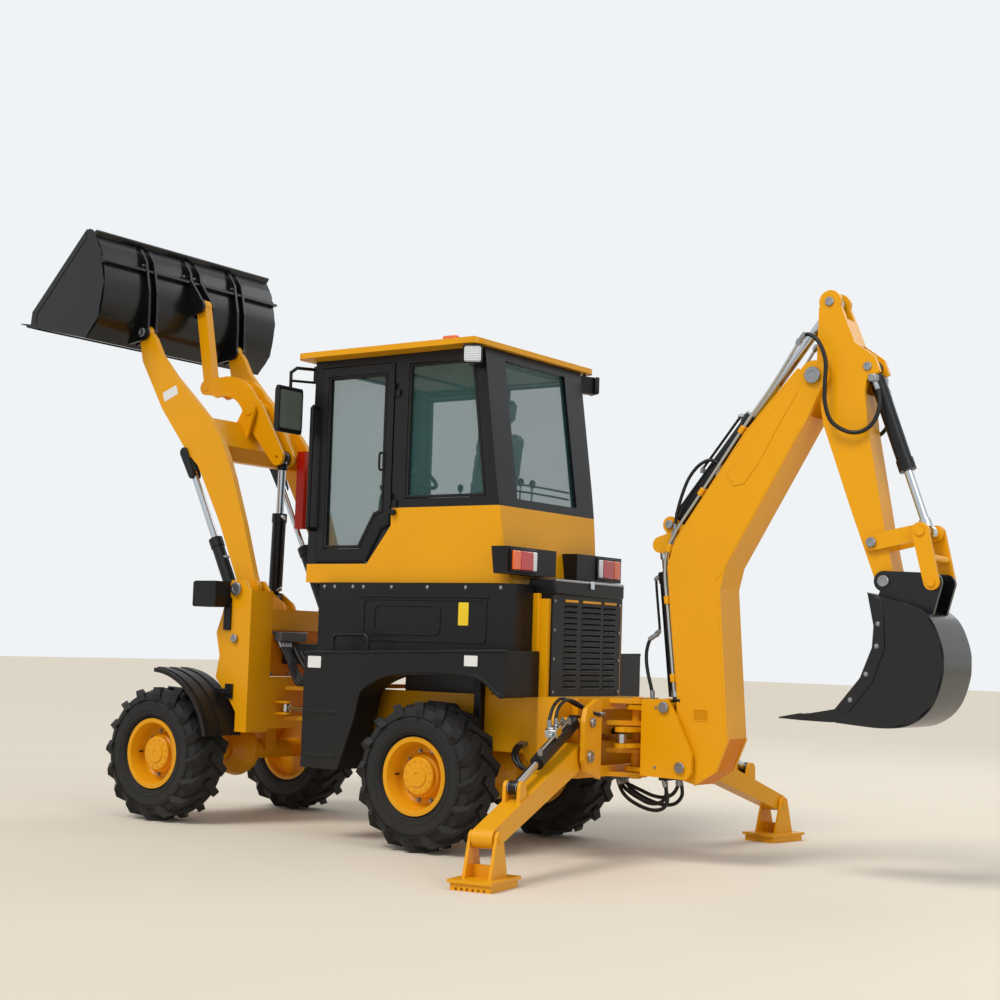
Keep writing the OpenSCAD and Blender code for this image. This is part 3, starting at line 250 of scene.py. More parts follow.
def slab(name, pts, y0, y1, mat, body, bevel=2.0, holes=()):
    """A plate drawn in the side view, points [x, z], between two widths in either order."""
    y0, y1 = sorted((y0, y1))
    bm = bmesh.new()
    edges = []
    for ring in (pts, *holes):
        vs = [bm.verts.new(P(x, y0, z)) for x, z in ring]
        for i, v in enumerate(vs):
            edges.append(bm.edges.new((v, vs[(i + 1) % len(vs)])))
    face = bmesh.ops.triangle_fill(bm, use_beauty=True, use_dissolve=False, edges=edges)
    faces = [g for g in face["geom"] if isinstance(g, bmesh.types.BMFace)]
    got = bmesh.ops.extrude_face_region(bm, geom=faces)
    vs = [g for g in got["geom"] if isinstance(g, bmesh.types.BMVert)]
    bmesh.ops.translate(bm, vec=Vector((0.0, (y1 - y0) / 1000.0, 0.0)), verts=vs)
    bmesh.ops.dissolve_limit(bm, angle_limit=0.01, verts=bm.verts, edges=bm.edges)
    return finish_mesh(name, bm, mat, body, bevel=bevel)


def block(name, lo, hi, mat, body, bevel=4.0):
    """A box with softened edges."""
    ring = [[lo[0], lo[2]], [hi[0], lo[2]], [hi[0], hi[2]], [lo[0], hi[2]]]
    return slab(name, ring, lo[1], hi[1], mat, body, bevel)


BOX_FACES = ((0, 3, 2, 1), (4, 5, 6, 7), (0, 1, 5, 4), (1, 2, 6, 5), (2, 3, 7, 6), (3, 0, 4, 7))


def box_into(bm, corners):
    """A solid from 8 corners: four in a row round one end, then four round the other."""
    vs = [bm.verts.new(c) for c in corners]
    for f in BOX_FACES:
        bm.faces.new([vs[i] for i in f])


def curve_points(points, step=12):
    """A smooth line through the points."""
    pts = [Vector(p) for p in points]
    if len(pts) < 3:
        return pts
    out = []
    for i in range(len(pts) - 1):
        a, b = pts[i], pts[i + 1]
        p0 = pts[i - 1] if i else a + (a - b)
        p3 = pts[i + 2] if i + 2 < len(pts) else b + (b - a)
        for k in range(step):
            t = k / step
            square, cube = 2 * p0 - 5 * a + 4 * b - p3, 3 * a - p0 - 3 * b + p3
            out.append(0.5 * ((2 * a) + (b - p0) * t + square * t * t + cube * t**3))
    out.append(pts[-1])
    return out


def spoke(a, b, k, sides):
    """Direction k of the given number round a circle, in the plane of a and b."""
    turn = 2 * math.pi * k / sides
    return math.cos(turn) * a + math.sin(turn) * b


def tube_into(bm, pts, r, sides=12, caps=True):
    """A tube along the points, with frames carried along so that it never twists."""
    rings = []
    prev = None
    n = len(pts)
    for i, p in enumerate(pts):
        d = (pts[min(i + 1, n - 1)] - pts[max(i - 1, 0)]).normalized()
        a = d.orthogonal().normalized() if prev is None else (prev - prev.dot(d) * d).normalized()
        prev = a
        rr = r[i] if isinstance(r, (list, tuple)) else r
        rings.append([bm.verts.new(p + spoke(a, d.cross(a), k, sides) * rr) for k in range(sides)])
    for u, v in zip(rings, rings[1:]):
        for k in range(sides):
            bm.faces.new((u[k], u[(k + 1) % sides], v[(k + 1) % sides], v[k]))
    if caps:
        bm.faces.new(rings[0][::-1])
        bm.faces.new(rings[-1])


def pipe(name, points, r, mat, body, step=10):
    """A pipe, hose or bar through millimetre points, and its centre line in metres."""
    pts = curve_points([P(*p) for p in points], step)
    bm = bmesh.new()
    tube_into(bm, pts, r / 1000.0)
    return finish_mesh(name, bm, mat, body, smooth=50.0), pts


def turned(name, centre, axis, profile, mat, body, sides=32, caps=True):
    """A turned piece: profile of [radius, along], around an axis through centre, in millimetres."""
    bm = bmesh.new()
    turned_into(bm, centre, axis, profile, sides, caps)
    return finish_mesh(name, bm, mat, body, smooth=35.0)


def turned_into(bm, centre, axis, profile, sides=32, caps=True):
    c, d = P(*centre), Vector(axis).normalized()
    a = d.orthogonal().normalized()
    b = d.cross(a)
    rings = []
    for r, h in profile:
        middle = c + d * h / 1000.0
        count = sides if r > 0.0 else 1
        rings.append([bm.verts.new(middle + spoke(a, b, k, sides) * r / 1000.0) for k in range(count)])
    for u, v in zip(rings, rings[1:]):
        for k in range(sides):
            k2 = (k + 1) % sides
            if len(u) == 1:
                bm.faces.new((u[0], v[k2], v[k]))
            elif len(v) == 1:
                bm.faces.new((u[k], u[k2], v[0]))
            else:
                bm.faces.new((u[k], u[k2], v[k2], v[k]))
    if caps and len(rings[0]) > 1:
        bm.faces.new(rings[0][::-1])
    if caps and len(rings[-1]) > 1:
        bm.faces.new(rings[-1])


def bolts(name, spots, axis, r, h, mat, body):
    """Hexagon heads with washers at millimetre spots."""
    bm = bmesh.new()
    for s in spots:
        turned_into(bm, s, axis, [[r * 1.35, 0], [r * 1.35, h * 0.2], [r, h * 0.2]], 16)
        turned_into(bm, s, axis, [[r, 0], [r, h * 0.9], [r * 0.8, h]], 6)
    return finish_mesh(name, bm, mat, body, smooth=25.0)


def rounded(u0, v0, u1, v1, r, n=5):
    """Corners of a rectangle with round corners, [u, v]."""
    out = []
    for cu, cv, a0 in (
        (u1 - r, v1 - r, 0), (u0 + r, v1 - r, 90), (u0 + r, v0 + r, 180), (u1 - r, v0 + r, 270),
    ):
        for k in range(n + 1):
            a = math.radians(a0 + k * 90 / n)
            out.append([cu + r * math.cos(a), cv + r * math.sin(a)])
    return out


def beside(line, off):
    """A line moved off to its left in the side view, as points [x, z]."""
    out = []
    for i, p in enumerate(line):
        d = (line[min(i + 1, len(line) - 1)] - line[max(i - 1, 0)]).normalized()
        out.append([p.x - d.z * off, p.z + d.x * off])
    return out


# finishes of the frame's own nodes
def paint(names, mat):
    for name in names:
        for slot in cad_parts[name].material_slots:
            slot.material = mat


YELLOWS = [
    "rear_chassis", "rear_axle", "cab_body", "cab_roof", "front_chassis", "front_axle", "rim_fl",
    "rim_fr", "rim_rl", "rim_rr", "loader_arm", "loader_bellcrank", "loader_link", "swing_post",
    "hoe_boom", "hoe_dipper", "hoe_rocker", "hoe_link", "stab_leg_l", "stab_leg_r", "stab_foot_l",
    "stab_foot_r",
]
BLACKS = [
    "cab_pillars", "door_l", "door_r", "lift_barrels", "tilt_barrel", "steer_barrel", "swing_barrels",
    "boom_barrel", "dipper_barrel", "bucket_barrel", "stab_barrel_l", "stab_barrel_r",
]
RODS = [
    "lift_rods", "tilt_rod", "steer_rod", "boom_rod", "dipper_rod", "bucket_rod", "swing_rod_l",
    "swing_rod_r", "stab_rod_l", "stab_rod_r",
]
paint(YELLOWS, YELLOW)
paint(BLACKS, BLACK)
paint(RODS, CHROME)
paint(["rear_bodywork", "front_fittings", "cab_fittings"], SATIN)
paint(["loader_bucket", "hoe_bucket"], BUCKET)
paint(["tyre_fl", "tyre_fr", "tyre_rl", "tyre_rr"], RUBBER)
paint(["engine_block"], CAST)
paint(["arm_prop"], RED)
paint(["cab_glass", "door_glass_l", "door_glass_r"], GLASS)
paint(["rear_lamps"], SATIN)


# wheels: side wall rings, rim face, hub cover and bolts
AXLES = {"f": 2067, "r": 0}
TRACK, WHEEL_Z = 615, 415
TYRE_RINGS = ((236, 141, 5), (262, 148, 3.5), (330, 147, 3))
RIM = [[203, 118], [200, 128], [190, 127], [182, 96], [178, 60], [170, 30], [160, 16], [150, 12]]
HUB = [[118, 30], [116, 52], [106, 60], [104, 84], [98, 90], [60, 92], [58, 98], [22, 99], [20, 95], [0, 95]]


def bolt_circle(x, y, r, count, shift=0):
    turns = [2 * math.pi * (k + shift) / count for k in range(count)]
    return [(x + r * math.cos(a), y, WHEEL_Z + r * math.sin(a)) for a in turns]


for end, x0 in AXLES.items():
    for tag, s in SIDES:
        wheel = end + tag
        body = "wheel_" + wheel
        c = (x0, s * TRACK, WHEEL_Z)
        ax = (0, s, 0)
        bm = bmesh.new()
        for r, h, w in TYRE_RINGS:
            ring = [[r - w, h - 5], [r - w * 0.5, h + 1.5], [r + w * 0.5, h + 1.5], [r + w, h - 5]]
            for side in (s, -s):
                turned_into(bm, c, (0, side, 0), ring, 64, False)
        finish_mesh("tyre_rings_" + wheel, bm, RUBBER, body, smooth=60)
        turned("rim_face_" + wheel, c, ax, RIM, YELLOW, body, 64, caps=False)
        turned("hub_" + wheel, c, ax, HUB, YELLOW, body, 48)
        bolts("wheel_bolts_" + wheel, bolt_circle(x0, s * (TRACK + 11), 141, 10), ax, 9, 16, STEEL, body)
        bolts("hub_bolts_" + wheel, bolt_circle(x0, s * (TRACK + 90), 84, 12, 0.5), ax, 5, 6, YELLOW, body)
        valve = [(x0 + 168, s * (TRACK + 40), WHEEL_Z), (x0 + 172, s * (TRACK + 70), WHEEL_Z)]
        pipe("valve_" + wheel, valve, 4, HOSE, body)

# doors: raised band round the lower edge with its diagonal, handle and knob
BAND = [
    [436, 1836], [494, 1806], [604, 1618], [979, 1618], [979, 1686], [648, 1686], [538, 1874],
    [436, 1900],
]
KNOB = [[14, 0], [14, 10], [19, 12], [19, 26], [14, 30], [0, 30]]
for tag, s in SIDES:
    door = "door_" + tag
    slab("door_band_" + tag, BAND, s * 504, s * 509, SATIN, door, 2)
    grip = [(505, s * y, z) for y, z in ((506, 2150), (524, 2155), (528, 2200), (524, 2245), (506, 2250))]
    pipe("door_handle_" + tag, grip, 7, SATIN, door)
    turned("door_knob_" + tag, (398, s * 499, 1898), (0, s, 0), KNOB, SATIN, REAR, 20)


# mirrors and roof lamps
def outward(angle):
    """The directions out and across of something that faces sideways at an angle from ahead."""
    a = math.radians(angle)
    return Vector((math.cos(a), math.sin(a), 0)), Vector((-math.sin(a), math.cos(a), 0))


def facing(name, centre, angle, rings, mat):
    """A shell on the cab that faces sideways: rings of (outline [across, up], distance out)."""
    n, u = outward(angle)
    bm = bmesh.new()
    made = []
    for outline, out in rings:
        c = P(*centre) + n * out / 1000
        made.append([bm.verts.new(c + u * p / 1000 + Vector((0, 0, q / 1000))) for p, q in outline])
    for v, w in zip(made, made[1:]):
        for k in range(len(v)):
            k2 = (k + 1) % len(v)
            bm.faces.new((v[k], v[k2], w[k2], w[k]))
    bm.faces.new(made[0])
    bm.faces.new(made[-1])
    finish_mesh(name, bm, mat, REAR)


for tag, s in SIDES:
    centre = (1132, s * 625, 2525)
    outer, inner, pane = [rounded(-w, -w - 20, w, w + 20, r) for w, r in ((104, 22), (97, 18), (96, 18))]
    facing("mirror_rim_" + tag, centre, 180, [(outer, -4), (outer, 3), (inner, 3), (inner, 0)], SATIN)
    # the mirror's glass carries a painted reflection in its colour
    facing("mirror_painted_reflection_" + tag, centre, 180, [(pane, -1), (pane, 1.5)], MIRROR_PAINTED_REFLECTION)


def lamp_head(name, centre, angle, w, h, out):
    """A square lamp head: bezel and ribbed lens behind its rim."""

    def edge(k):
        return rounded(-w / 2 + k, -h / 2 + k, w / 2 - k, h / 2 - k, 12)

    bezel = [(edge(8), out - 26), (edge(0), out - 14), (edge(0), out), (edge(7), out), (edge(9), out - 6)]
    facing(name + "_bezel", centre, angle, bezel, SATIN)
    facing(name + "_lens", centre, angle, [
        (edge(8), out - 6), (edge(9), out - 2), (edge(20), out + 1),
    ], LENS_CLEAR)
    n, u = outward(angle)
    middle = P(*centre) + n * (out + 0.5) / 1000
    bm = bmesh.new()
    for k in range(9):
        z = -h / 2 + 14 + k * (h - 28) / 8
        rib = [middle + u * p / 1000 + Vector((0, 0, z / 1000)) for p in (-w / 2 + 14, w / 2 - 14)]
        tube_into(bm, rib, 0.0016, 6)
    finish_mesh(name + "_ribs", bm, STEEL, REAR)


for tag, s in SIDES:
    lamp_head("work_lamp_rear_" + tag, (-195, s * 574, 2762), s * 120, 112, 106, 78)
    lamp_head("work_lamp_front_" + tag, (1085, s * 392, 2762), 0, 116, 102, 32)
    a, b = sorted((s * 590, s * 633))
    block("marker_lamp_" + tag, (-104, a, 2848), (-12, b, 2882), LENS_AMBER, REAR, 6)
    block("marker_base_" + tag, (-108, a - 3, 2844), (-8, b + 1, 2856), SATIN, REAR, 2)

# window seals: outline in the side view and the widths they span
SIDE_SEAL = [[-251, 1979], [321, 1979], [321, 2766], [-147, 2766]]
DOOR_SEAL = [[484, 1902], [541, 1884], [652, 1694], [931, 1694], [936, 2726], [484, 2726]]
SEAL_WIDTH = 16
for name, ring, y0, y1 in (("side", SIDE_SEAL, 478, 502), ("door", DOOR_SEAL, 474, 507)):
    cx = sum(p[0] for p in ring) / len(ring)
    cz = sum(p[1] for p in ring) / len(ring)
    inner = [[x + math.copysign(SEAL_WIDTH, cx - x), z + math.copysign(SEAL_WIDTH, cz - z)] for x, z in ring]
    for tag, s in SIDES:
        body = REAR if name == "side" else "door_" + tag
        slab("seal_" + name + "_" + tag, ring, s * y0, s * y1, SEAL, body, 3, holes=[inner])


# rear bodywork
def rear_side(tag, s):
    """Covers, plates, wing, steps and lamps of one side."""
    # embossed panel of the engine cover, with its raised frame
    slab(
        "cover_frame_" + tag, rounded(-330, 1150, 560, 1400, 26), s * 560, s * 565, SATIN, REAR, 2,
        holes=[rounded(-316, 1164, 546, 1386, 20)],
    )
    slab(
        "cover_panel_" + tag, rounded(-10, 1188, 480, 1366, 40), s * 560, s * 565, SATIN, REAR, 2,
        holes=[rounded(4, 1202, 466, 1352, 30)],
    )
    slab("cover_lip_" + tag, rounded(-340, 1402, 590, 1418, 7), s * 560, s * 567, SATIN, REAR, 3)
    # band of bolts under the cab
    spots = [(x, s * 560, 1462) for x in (-420, -180, 90, 350, 560, 640, 780, 860)]
    bolts("cover_bolts_" + tag, spots, (0, s, 0), 8, 7, STEEL, REAR)
    slab(
        "blank_plate_cover_" + tag, rounded(-205, 1250, -135, 1378, 6), s * 560, s * 562, PLATE_Y, REAR,
        0.6,
    )
    slab("blank_plate_step_" + tag, rounded(742, 985, 842, 1052, 6), s * 700, s * 702, PLATE, REAR, 0.6)
    slab("blank_plate_wing_" + tag, rounded(-380, 1028, -290, 1086, 4), s * 700, s * 702, PLATE, REAR, 0.6)
    # folded edge along the wing's top, and the grab handle on it
    slab(
        "wing_edge_" + tag, [[-572, 1108], [872, 1063], [872, 1080], [-572, 1125]], s * 690, s * 706,
        SATIN, REAR, 5,
    )
    pipe("wing_handle_" + tag, on_side(s, [
        (690, 660, 1085), (690, 660, 1150), (672, 660, 1176), (640, 660, 1180), (480, 660, 1184),
        (448, 660, 1180), (430, 660, 1158), (430, 660, 1094),
    ]), 11, SATIN, REAR, step=8)
    # step box: recessed tread plates
    for k, z in enumerate((470, 720)):
        block("step_tread_%s_%d" % (tag, k), (610, s * 640, z), (850, s * 704, z + 26), SATIN, REAR, 5)
    # tail lamps
    block("tail_bezel_" + tag, (-489, s * 318, 1548), (-478, s * 572, 1682), SATIN, REAR, 4)
    for k, (a, b, m) in enumerate(((330, 366, LENS_CLEAR), (368, 488, LENS_RED), (490, 560, LENS_AMBER))):
        block("tail_lens_%s_%d" % (tag, k), (-502, s * a, 1562), (-486, s * b, 1668), m, REAR, 5)
    # yellow corner post beside the grille
    block("grille_post_" + tag, (-560, s * 364, 878), (-520, s * 392, 1440), YELLOW, REAR, 3)


for tag, s in SIDES:
    rear_side(tag, s)

# grille: louvre blades, centre bars, lid with latch
bm = bmesh.new()
for k in range(15):
    for a, b in ((-296, -174), (-136, 56), (114, 236)):
        z = 914 + k * 32
        front = [P(-636, a, z + 4), P(-636, b, z + 4), P(-612, b, z + 26), P(-612, a, z + 26)]
        box_into(bm, front + [P(-633, a, z), P(-633, b, z), P(-609, b, z + 22), P(-609, a, z + 22)])
finish_mesh("grille_louvres", bm, SATIN, REAR, smooth=20)
block("grille_lid", (-648, -368, 1436), (-470, 368, 1524), SATIN, REAR, 10)
block("grille_lid_edge", (-652, -360, 1508), (-640, 360, 1520), STEEL, REAR, 4)
block("grille_latch", (-660, -24, 1478), (-646, 14, 1522), CHROME, REAR, 3)
for k, (a, b) in enumerate(((-300, -170), (-130, 60), (110, 240))):
    block("grille_slot_%d" % k, (-640, a, 1398), (-631, b, 1412), YELLOW, REAR, 2)
spots = [(-633, s * 340, z) for s in (1, -1) for z in (900, 1080, 1240, 1400)]
bolts("grille_bolts", spots, (-1, 0, 0), 7, 6, STEEL, REAR)
block("gold_plate", (-518, 386, 1010), (-498, 389, 1090), GOLD, REAR, 1)

# heads of the cross pins: [x, z, half width over the plates], radius and body
PINS = (
    ("boom_foot_pin", ((-1335, 528, 160), (-1230, 842, 160)), 30, POST),
    ("dipper_pin", ((-2050, 2595, 122),), 44, BOOM), ("dipper_foot_pin", ((-1190, 1835, 70),), 24, BOOM),
    ("dipper_rod_pin", ((-2120, 2985, 76),), 24, "hoe_dipper"),
    ("bucket_barrel_pin", ((-2335, 2628, 76),), 22, "hoe_dipper"),
    ("rocker_pin", ((-2378, 1722, 107),), 26, "hoe_dipper"),
    ("bucket_pin", ((-2445, 1526, 105),), 30, "hoe_bucket"),
    ("loader_bucket_pin", ((2650, 3155, 464),), 30, "loader_bucket"),
    ("arm_foot_pin", ((1600, 1445, 542),), 42, FRONT), ("lift_foot_pin", ((1600, 1140, 540),), 26, FRONT),
)
for name, spots, r, body in PINS:
    head = [[r, -3], [r, 7], [r - 3, 10], [r * 0.55, 10], [r * 0.5, 7], [0, 7]]
    for i, (x, z, half) in enumerate(spots):
        for tag, s in SIDES:
            turned("%s_%d%s" % (name, i, tag), (x, s * half, z), (0, s, 0), head, STEEL, body, 28)


# hydraulic pipes and hoses
FERRULE = ((-0.2, 1.5), (0.1, 1.5), (0.1, 1.1), (0.3, 1.1), (0.3, 1.35), (1, 1.25))
NUT = ((-6, 2), (20, 2), (20, 1.4), (30, 1.4))


def fitting_into(bm, a, b, length, r, shape, sides):
    """A stepped fitting from a toward b: shape of (share of the length, share of the radius)."""
    d = (b - a).normalized()
    spots = [a + d * (length * along / 1000) for along, _ in shape]
    tube_into(bm, spots, [r * wide / 1000 for _, wide in shape], sides)


def hose(name, points, r, body, other=None, ends=52):
    """A hose through millimetre points; with other it is left on no body, and its end fittings ride on body
    and other.
    """
    o, pts = pipe(name, points, r, HOSE, None if other else body, 8)
    if other:
        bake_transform(o)
    if not ends:
        return
    for tag, a, b, rides in (("a", pts[0], pts[1], body), ("b", pts[-1], pts[-2], other or body)):
        bm = bmesh.new()
        fitting_into(bm, a, b, ends, r, FERRULE, 12)
        finish_mesh(name + "_ferrule_" + tag, bm, STEEL, rides, smooth=30)


def steel_pipe(name, points, r, body, mat=PIPE):
    """A bent steel pipe with a hexagon nut at both ends."""
    _, pts = pipe(name, points, r, mat, body, 6)
    bm = bmesh.new()
    for a, b in ((pts[0], pts[1]), (pts[-1], pts[-2])):
        fitting_into(bm, a, b, 1, r, NUT, 6)
    finish_mesh(name + "_nuts", bm, STEEL, body, smooth=25)


def axis_point(p, q, t, off=0, y=0):
    """A point t along the line p-q in the side view, off to its left."""
    dx, dz = q[0] - p[0], q[1] - p[1]
    d = math.hypot(dx, dz)
    return (p[0] + dx * t / d - dz * off / d, y, p[1] + dz * t / d + dx * off / d)


# pipes up the front of the boom, with the hoses that leave them
BOOM_EDGE = [(-1264, 905), (-1242, 1100), (-1215, 1330), (-1188, 1600), (-1234, 1765)]
BOOM_TOP = [(-1392, 1988), (-1645, 2338), (-1820, 2568), (-1968, 2787)]
for tag, s in SIDES:
    steel_pipe("boom_pipe_long_" + tag, [(x, s * 105, z) for x, z in BOOM_EDGE + BOOM_TOP], 8.5, BOOM)
    steel_pipe("boom_pipe_short_" + tag, [
        (x, s * 84, z)
        for x, z in BOOM_EDGE[:-1] + [(-1226, 1742), (-1232, 1792)]
    ], 8.5, BOOM)
    for k, (x, z, a) in enumerate(
        ((-1254, 1000, 83.5), (-1206, 1420, 84), (-1212, 1702, 106), (-1404, 2005, 126), (-1640, 2331, 126))
    ):
        ca, sa = math.cos(math.radians(a)), math.sin(math.radians(a))
        pts = [(-22, -13), (22, -13), (22, 13), (-22, 13)]
        ring = [[x + u * ca - v * sa, z + u * sa + v * ca] for u, v in pts]
        slab("boom_clamp_%s%d" % (tag, k), ring, s * 70, s * 119, YELLOW, BOOM, 4)
        bolts(
            "boom_clamp_bolt_%s%d" % (tag, k), [(x + 13 * sa, s * 94, z - 13 * ca)], (sa, 0, -ca), 6, 6,
            STEEL, BOOM,
        )
    # loop over the elbow down to the bucket cylinder
    hose("elbow_hose_" + tag, on_side(s, [
        (-1968, 105, 2787), (-1996, 110, 2812), (-2039, 120, 2806), (-2092, 132, 2758),
        (-2130, 138, 2660), (-2128, 138, 2540), (-2130, 136, 2440), (-2162, 132, 2348),
        (-2236, 122, 2294), (-2306, 108, 2286), (-2362, 94, 2318), (-2396, 84, 2380), (-2402, 76, 2450),
        (-2388, 70, 2506), (-2368, 66, 2552),
    ]), 11, BOOM, "hoe_dipper")
    block("bucket_port_" + tag, (-2384, s * 38, 2548), (-2340, s * 84, 2586), STEEL, "hoe_dipper", 5)
    # arch over the bend to the dipper cylinder
    hose("bend_hose_" + tag, on_side(s, [
        (-1232, 83, 1792), (-1240, 82, 1880), (-1266, 80, 1980), (-1306, 76, 2080), (-1362, 71, 2150),
        (-1424, 66, 2180), (-1474, 62, 2166), (-1490, 60, 2136), (-1482, 58, 2112),
    ]), 9.5, BOOM, "dipper_barrel", 44)
block("dipper_port_low", (-1500, -66, 2090), (-1462, 66, 2124), STEEL, "dipper_barrel", 5)

# pipes along the dipper and boom cylinders, and the boom cylinder's hose
DC_A, DC_B = (-1190, 1835), (-2120, 2985)
steel_pipe("dipper_cylinder_pipe", [
    axis_point(DC_A, DC_B, t, -off, 14)
    for t, off in ((330, 50), (352, 60), (420, 60), (560, 60), (680, 60), (704, 56), (712, 46))
], 7.5, "dipper_barrel", mat=BLACK)
BC_A, BC_B = (-1230, 842), (-1128, 1725)
steel_pipe("boom_cylinder_pipe", [
    axis_point(BC_A, BC_B, t, -off, 22)
    for t, off in ((716, 44), (706, 60), (660, 64), (540, 64), (440, 64), (418, 70), (408, 84))
], 7.5, "boom_barrel", mat=BLACK)
hose("boom_cylinder_hose", [
    (-1098, 24, 1232), (-1062, 28, 1206), (-1044, 32, 1146), (-1046, 36, 1080), (-1062, 40, 1010),
    (-1082, 44, 950), (-1094, 46, 904), (-1096, 46, 876),
], 10, "boom_barrel", POST)

# hoses into the boom's foot, hoses inside the slewing post, then loops under it to the frame
for k, y in enumerate((105, 83, -83, -105)):
    foot = [(-1264, y, 905), (-1268, y, 893), (-1282, y, 884), (-1302, y, 880)]
    hose("boom_foot_hose_%d" % k, foot, 10, BOOM, ends=0)
    inside = [(-1240, y * 0.93, 645), (-1226, y * 0.9, 600), (-1210, y * 0.86, 520), (-1200, y * 0.84, 452)]
    hose("post_hose_%d" % k, inside, 10, POST, ends=0)
LOOPS = [
    [
        (-1200, 88, 452), (-1216, 86, 400), (-1222, 80, 345), (-1190, 70, 298), (-1120, 55, 282),
        (-1030, 38, 296), (-940, 20, 330), (-884, 6, 376), (-858, 0, 436),
    ],
    [
        (-1200, 70, 452), (-1206, 68, 400), (-1196, 60, 352), (-1150, 48, 322), (-1080, 32, 316),
        (-1000, 14, 338), (-930, -2, 366), (-882, -16, 396), (-862, -24, 436),
    ],
    [
        (-1200, -70, 452), (-1200, -68, 412), (-1176, -60, 368), (-1126, -52, 346), (-1060, -46, 350),
        (-990, -44, 372), (-930, -46, 392), (-884, -48, 408), (-864, -50, 438),
    ],
    [
        (-1200, -88, 452), (-1214, -90, 404), (-1212, -92, 354), (-1170, -92, 312), (-1100, -88, 302),
        (-1010, -84, 322), (-930, -80, 356), (-880, -78, 392), (-862, -76, 438),
    ],
]
for k, pts in enumerate(LOOPS):
    hose("under_loop_%d" % k, pts, 10.5, POST, REAR, 40)
block("under_clamp_post", (-1226, -104, 448), (-1176, 104, 470), SATIN, POST, 4)
block("under_manifold", (-886, -96, 430), (-838, 30, 452), CAST, REAR, 4)


# stabilizer cylinders: pipe, lock valve and hoses, drawn in the leg's own plane
ST_TURN = math.radians(9.5)


def st(s, t, u, z):
    """A point of the left or right stabilizer: t across its plane, u outward, z up."""
    x = -900 + t * math.cos(ST_TURN) - u * math.sin(ST_TURN)
    y = 540 + t * math.sin(ST_TURN) + u * math.cos(ST_TURN)
    return (x, s * y, z)


def st_axis(s):
    """The direction of the stabilizer's pins."""
    return Vector((math.cos(ST_TURN), s * math.sin(ST_TURN), 0))


def stab_hoses(tag, s):
    body = "stab_barrel_" + tag
    a, b = (-20, 755), (700, 452)

    def at(t, off, across):
        p = axis_point(a, b, t, off)
        return st(s, across, p[0], p[2])

    steel_pipe("stab_pipe_" + tag, [
        at(96, 38, -14), at(100, 50, -16), at(150, 52, -16), at(300, 52, -16), at(450, 52, -16),
        at(474, 48, -14), at(478, 36, -12),
    ], 7, body)
    steel_pipe("stab_pipe_b_" + tag, [
        at(96, 38, 14), at(100, 50, 18), at(140, 54, 20), at(210, 60, 22), at(232, 66, 22),
    ], 6, body)
    # lock valve on the barrel's top
    bm = bmesh.new()
    for t0, t1, o0, o1, c0, c1 in (
        (226, 300, 40, 86, -30, 34), (236, 262, 86, 100, -20, 4), (272, 296, 86, 98, -14, 16),
        (300, 318, 52, 74, -12, 12),
    ):
        end = ((o0, c0), (o0, c1), (o1, c1), (o1, c0))
        box_into(bm, [P(*at(t, o, c)) for t in (t0, t1) for o, c in end])
    finish_mesh("stab_valve_" + tag, bm, CHROME, body, smooth=20, bevel=2.5)
    for k, c in enumerate((-12, 14)):
        hose("stab_hose_%s%d" % (tag, k), [
            at(246 + 30 * k, 96, c), at(236 + 26 * k, 132, c), at(190, 166 + 8 * k, c),
            at(110, 172 + 8 * k, c - 8), at(40, 140, c - 16), at(0, 96, c - 40),
            st(s, -84 - 20 * k, -70, 800), st(s, -96 - 20 * k, -128, 796),
        ], 9, body, REAR, 36)
    # supply hoses that bow out beside the frame
    for k in range(2):
        hose("side_hose_%s%d" % (tag, k), on_side(s, [
            (-470 - 26 * k, 392, 610), (-476 - 26 * k, 450, 596), (-508 - 26 * k, 520, 556),
            (-560 - 26 * k, 545, 506 - 6 * k), (-626 - 22 * k, 520, 476 - 4 * k),
            (-684 - 16 * k, 470, 486), (-716 - 10 * k, 440, 520),
        ]), 11, REAR, ends=40)


for tag, s in SIDES:
    stab_hoses(tag, s)


# cab interior: sewn seat, its base, steering, levers and roof lining
SEAT_INSET, SEAT_SWELL, SEAT_SEAM = 0.012, 0.018, 0.007
SEAT_FRAMES = 20


def settled(o):
    """The object's mesh with its modifiers applied; they are taken off it."""
    mesh = bpy.data.meshes.new_from_object(o.evaluated_get(bpy.context.evaluated_depsgraph_get()))
    o.modifiers.clear()
    return mesh


def sewn(bm, z0, lines):
    """Presses sewn channels into the crowned top, at the given places along x."""
    for v in bm.verts:
        if v.co.z > z0:
            for c in lines:
                v.co.z -= SEAT_SEAM * math.exp(-(((v.co.x - c) / SEAT_SEAM) ** 2))


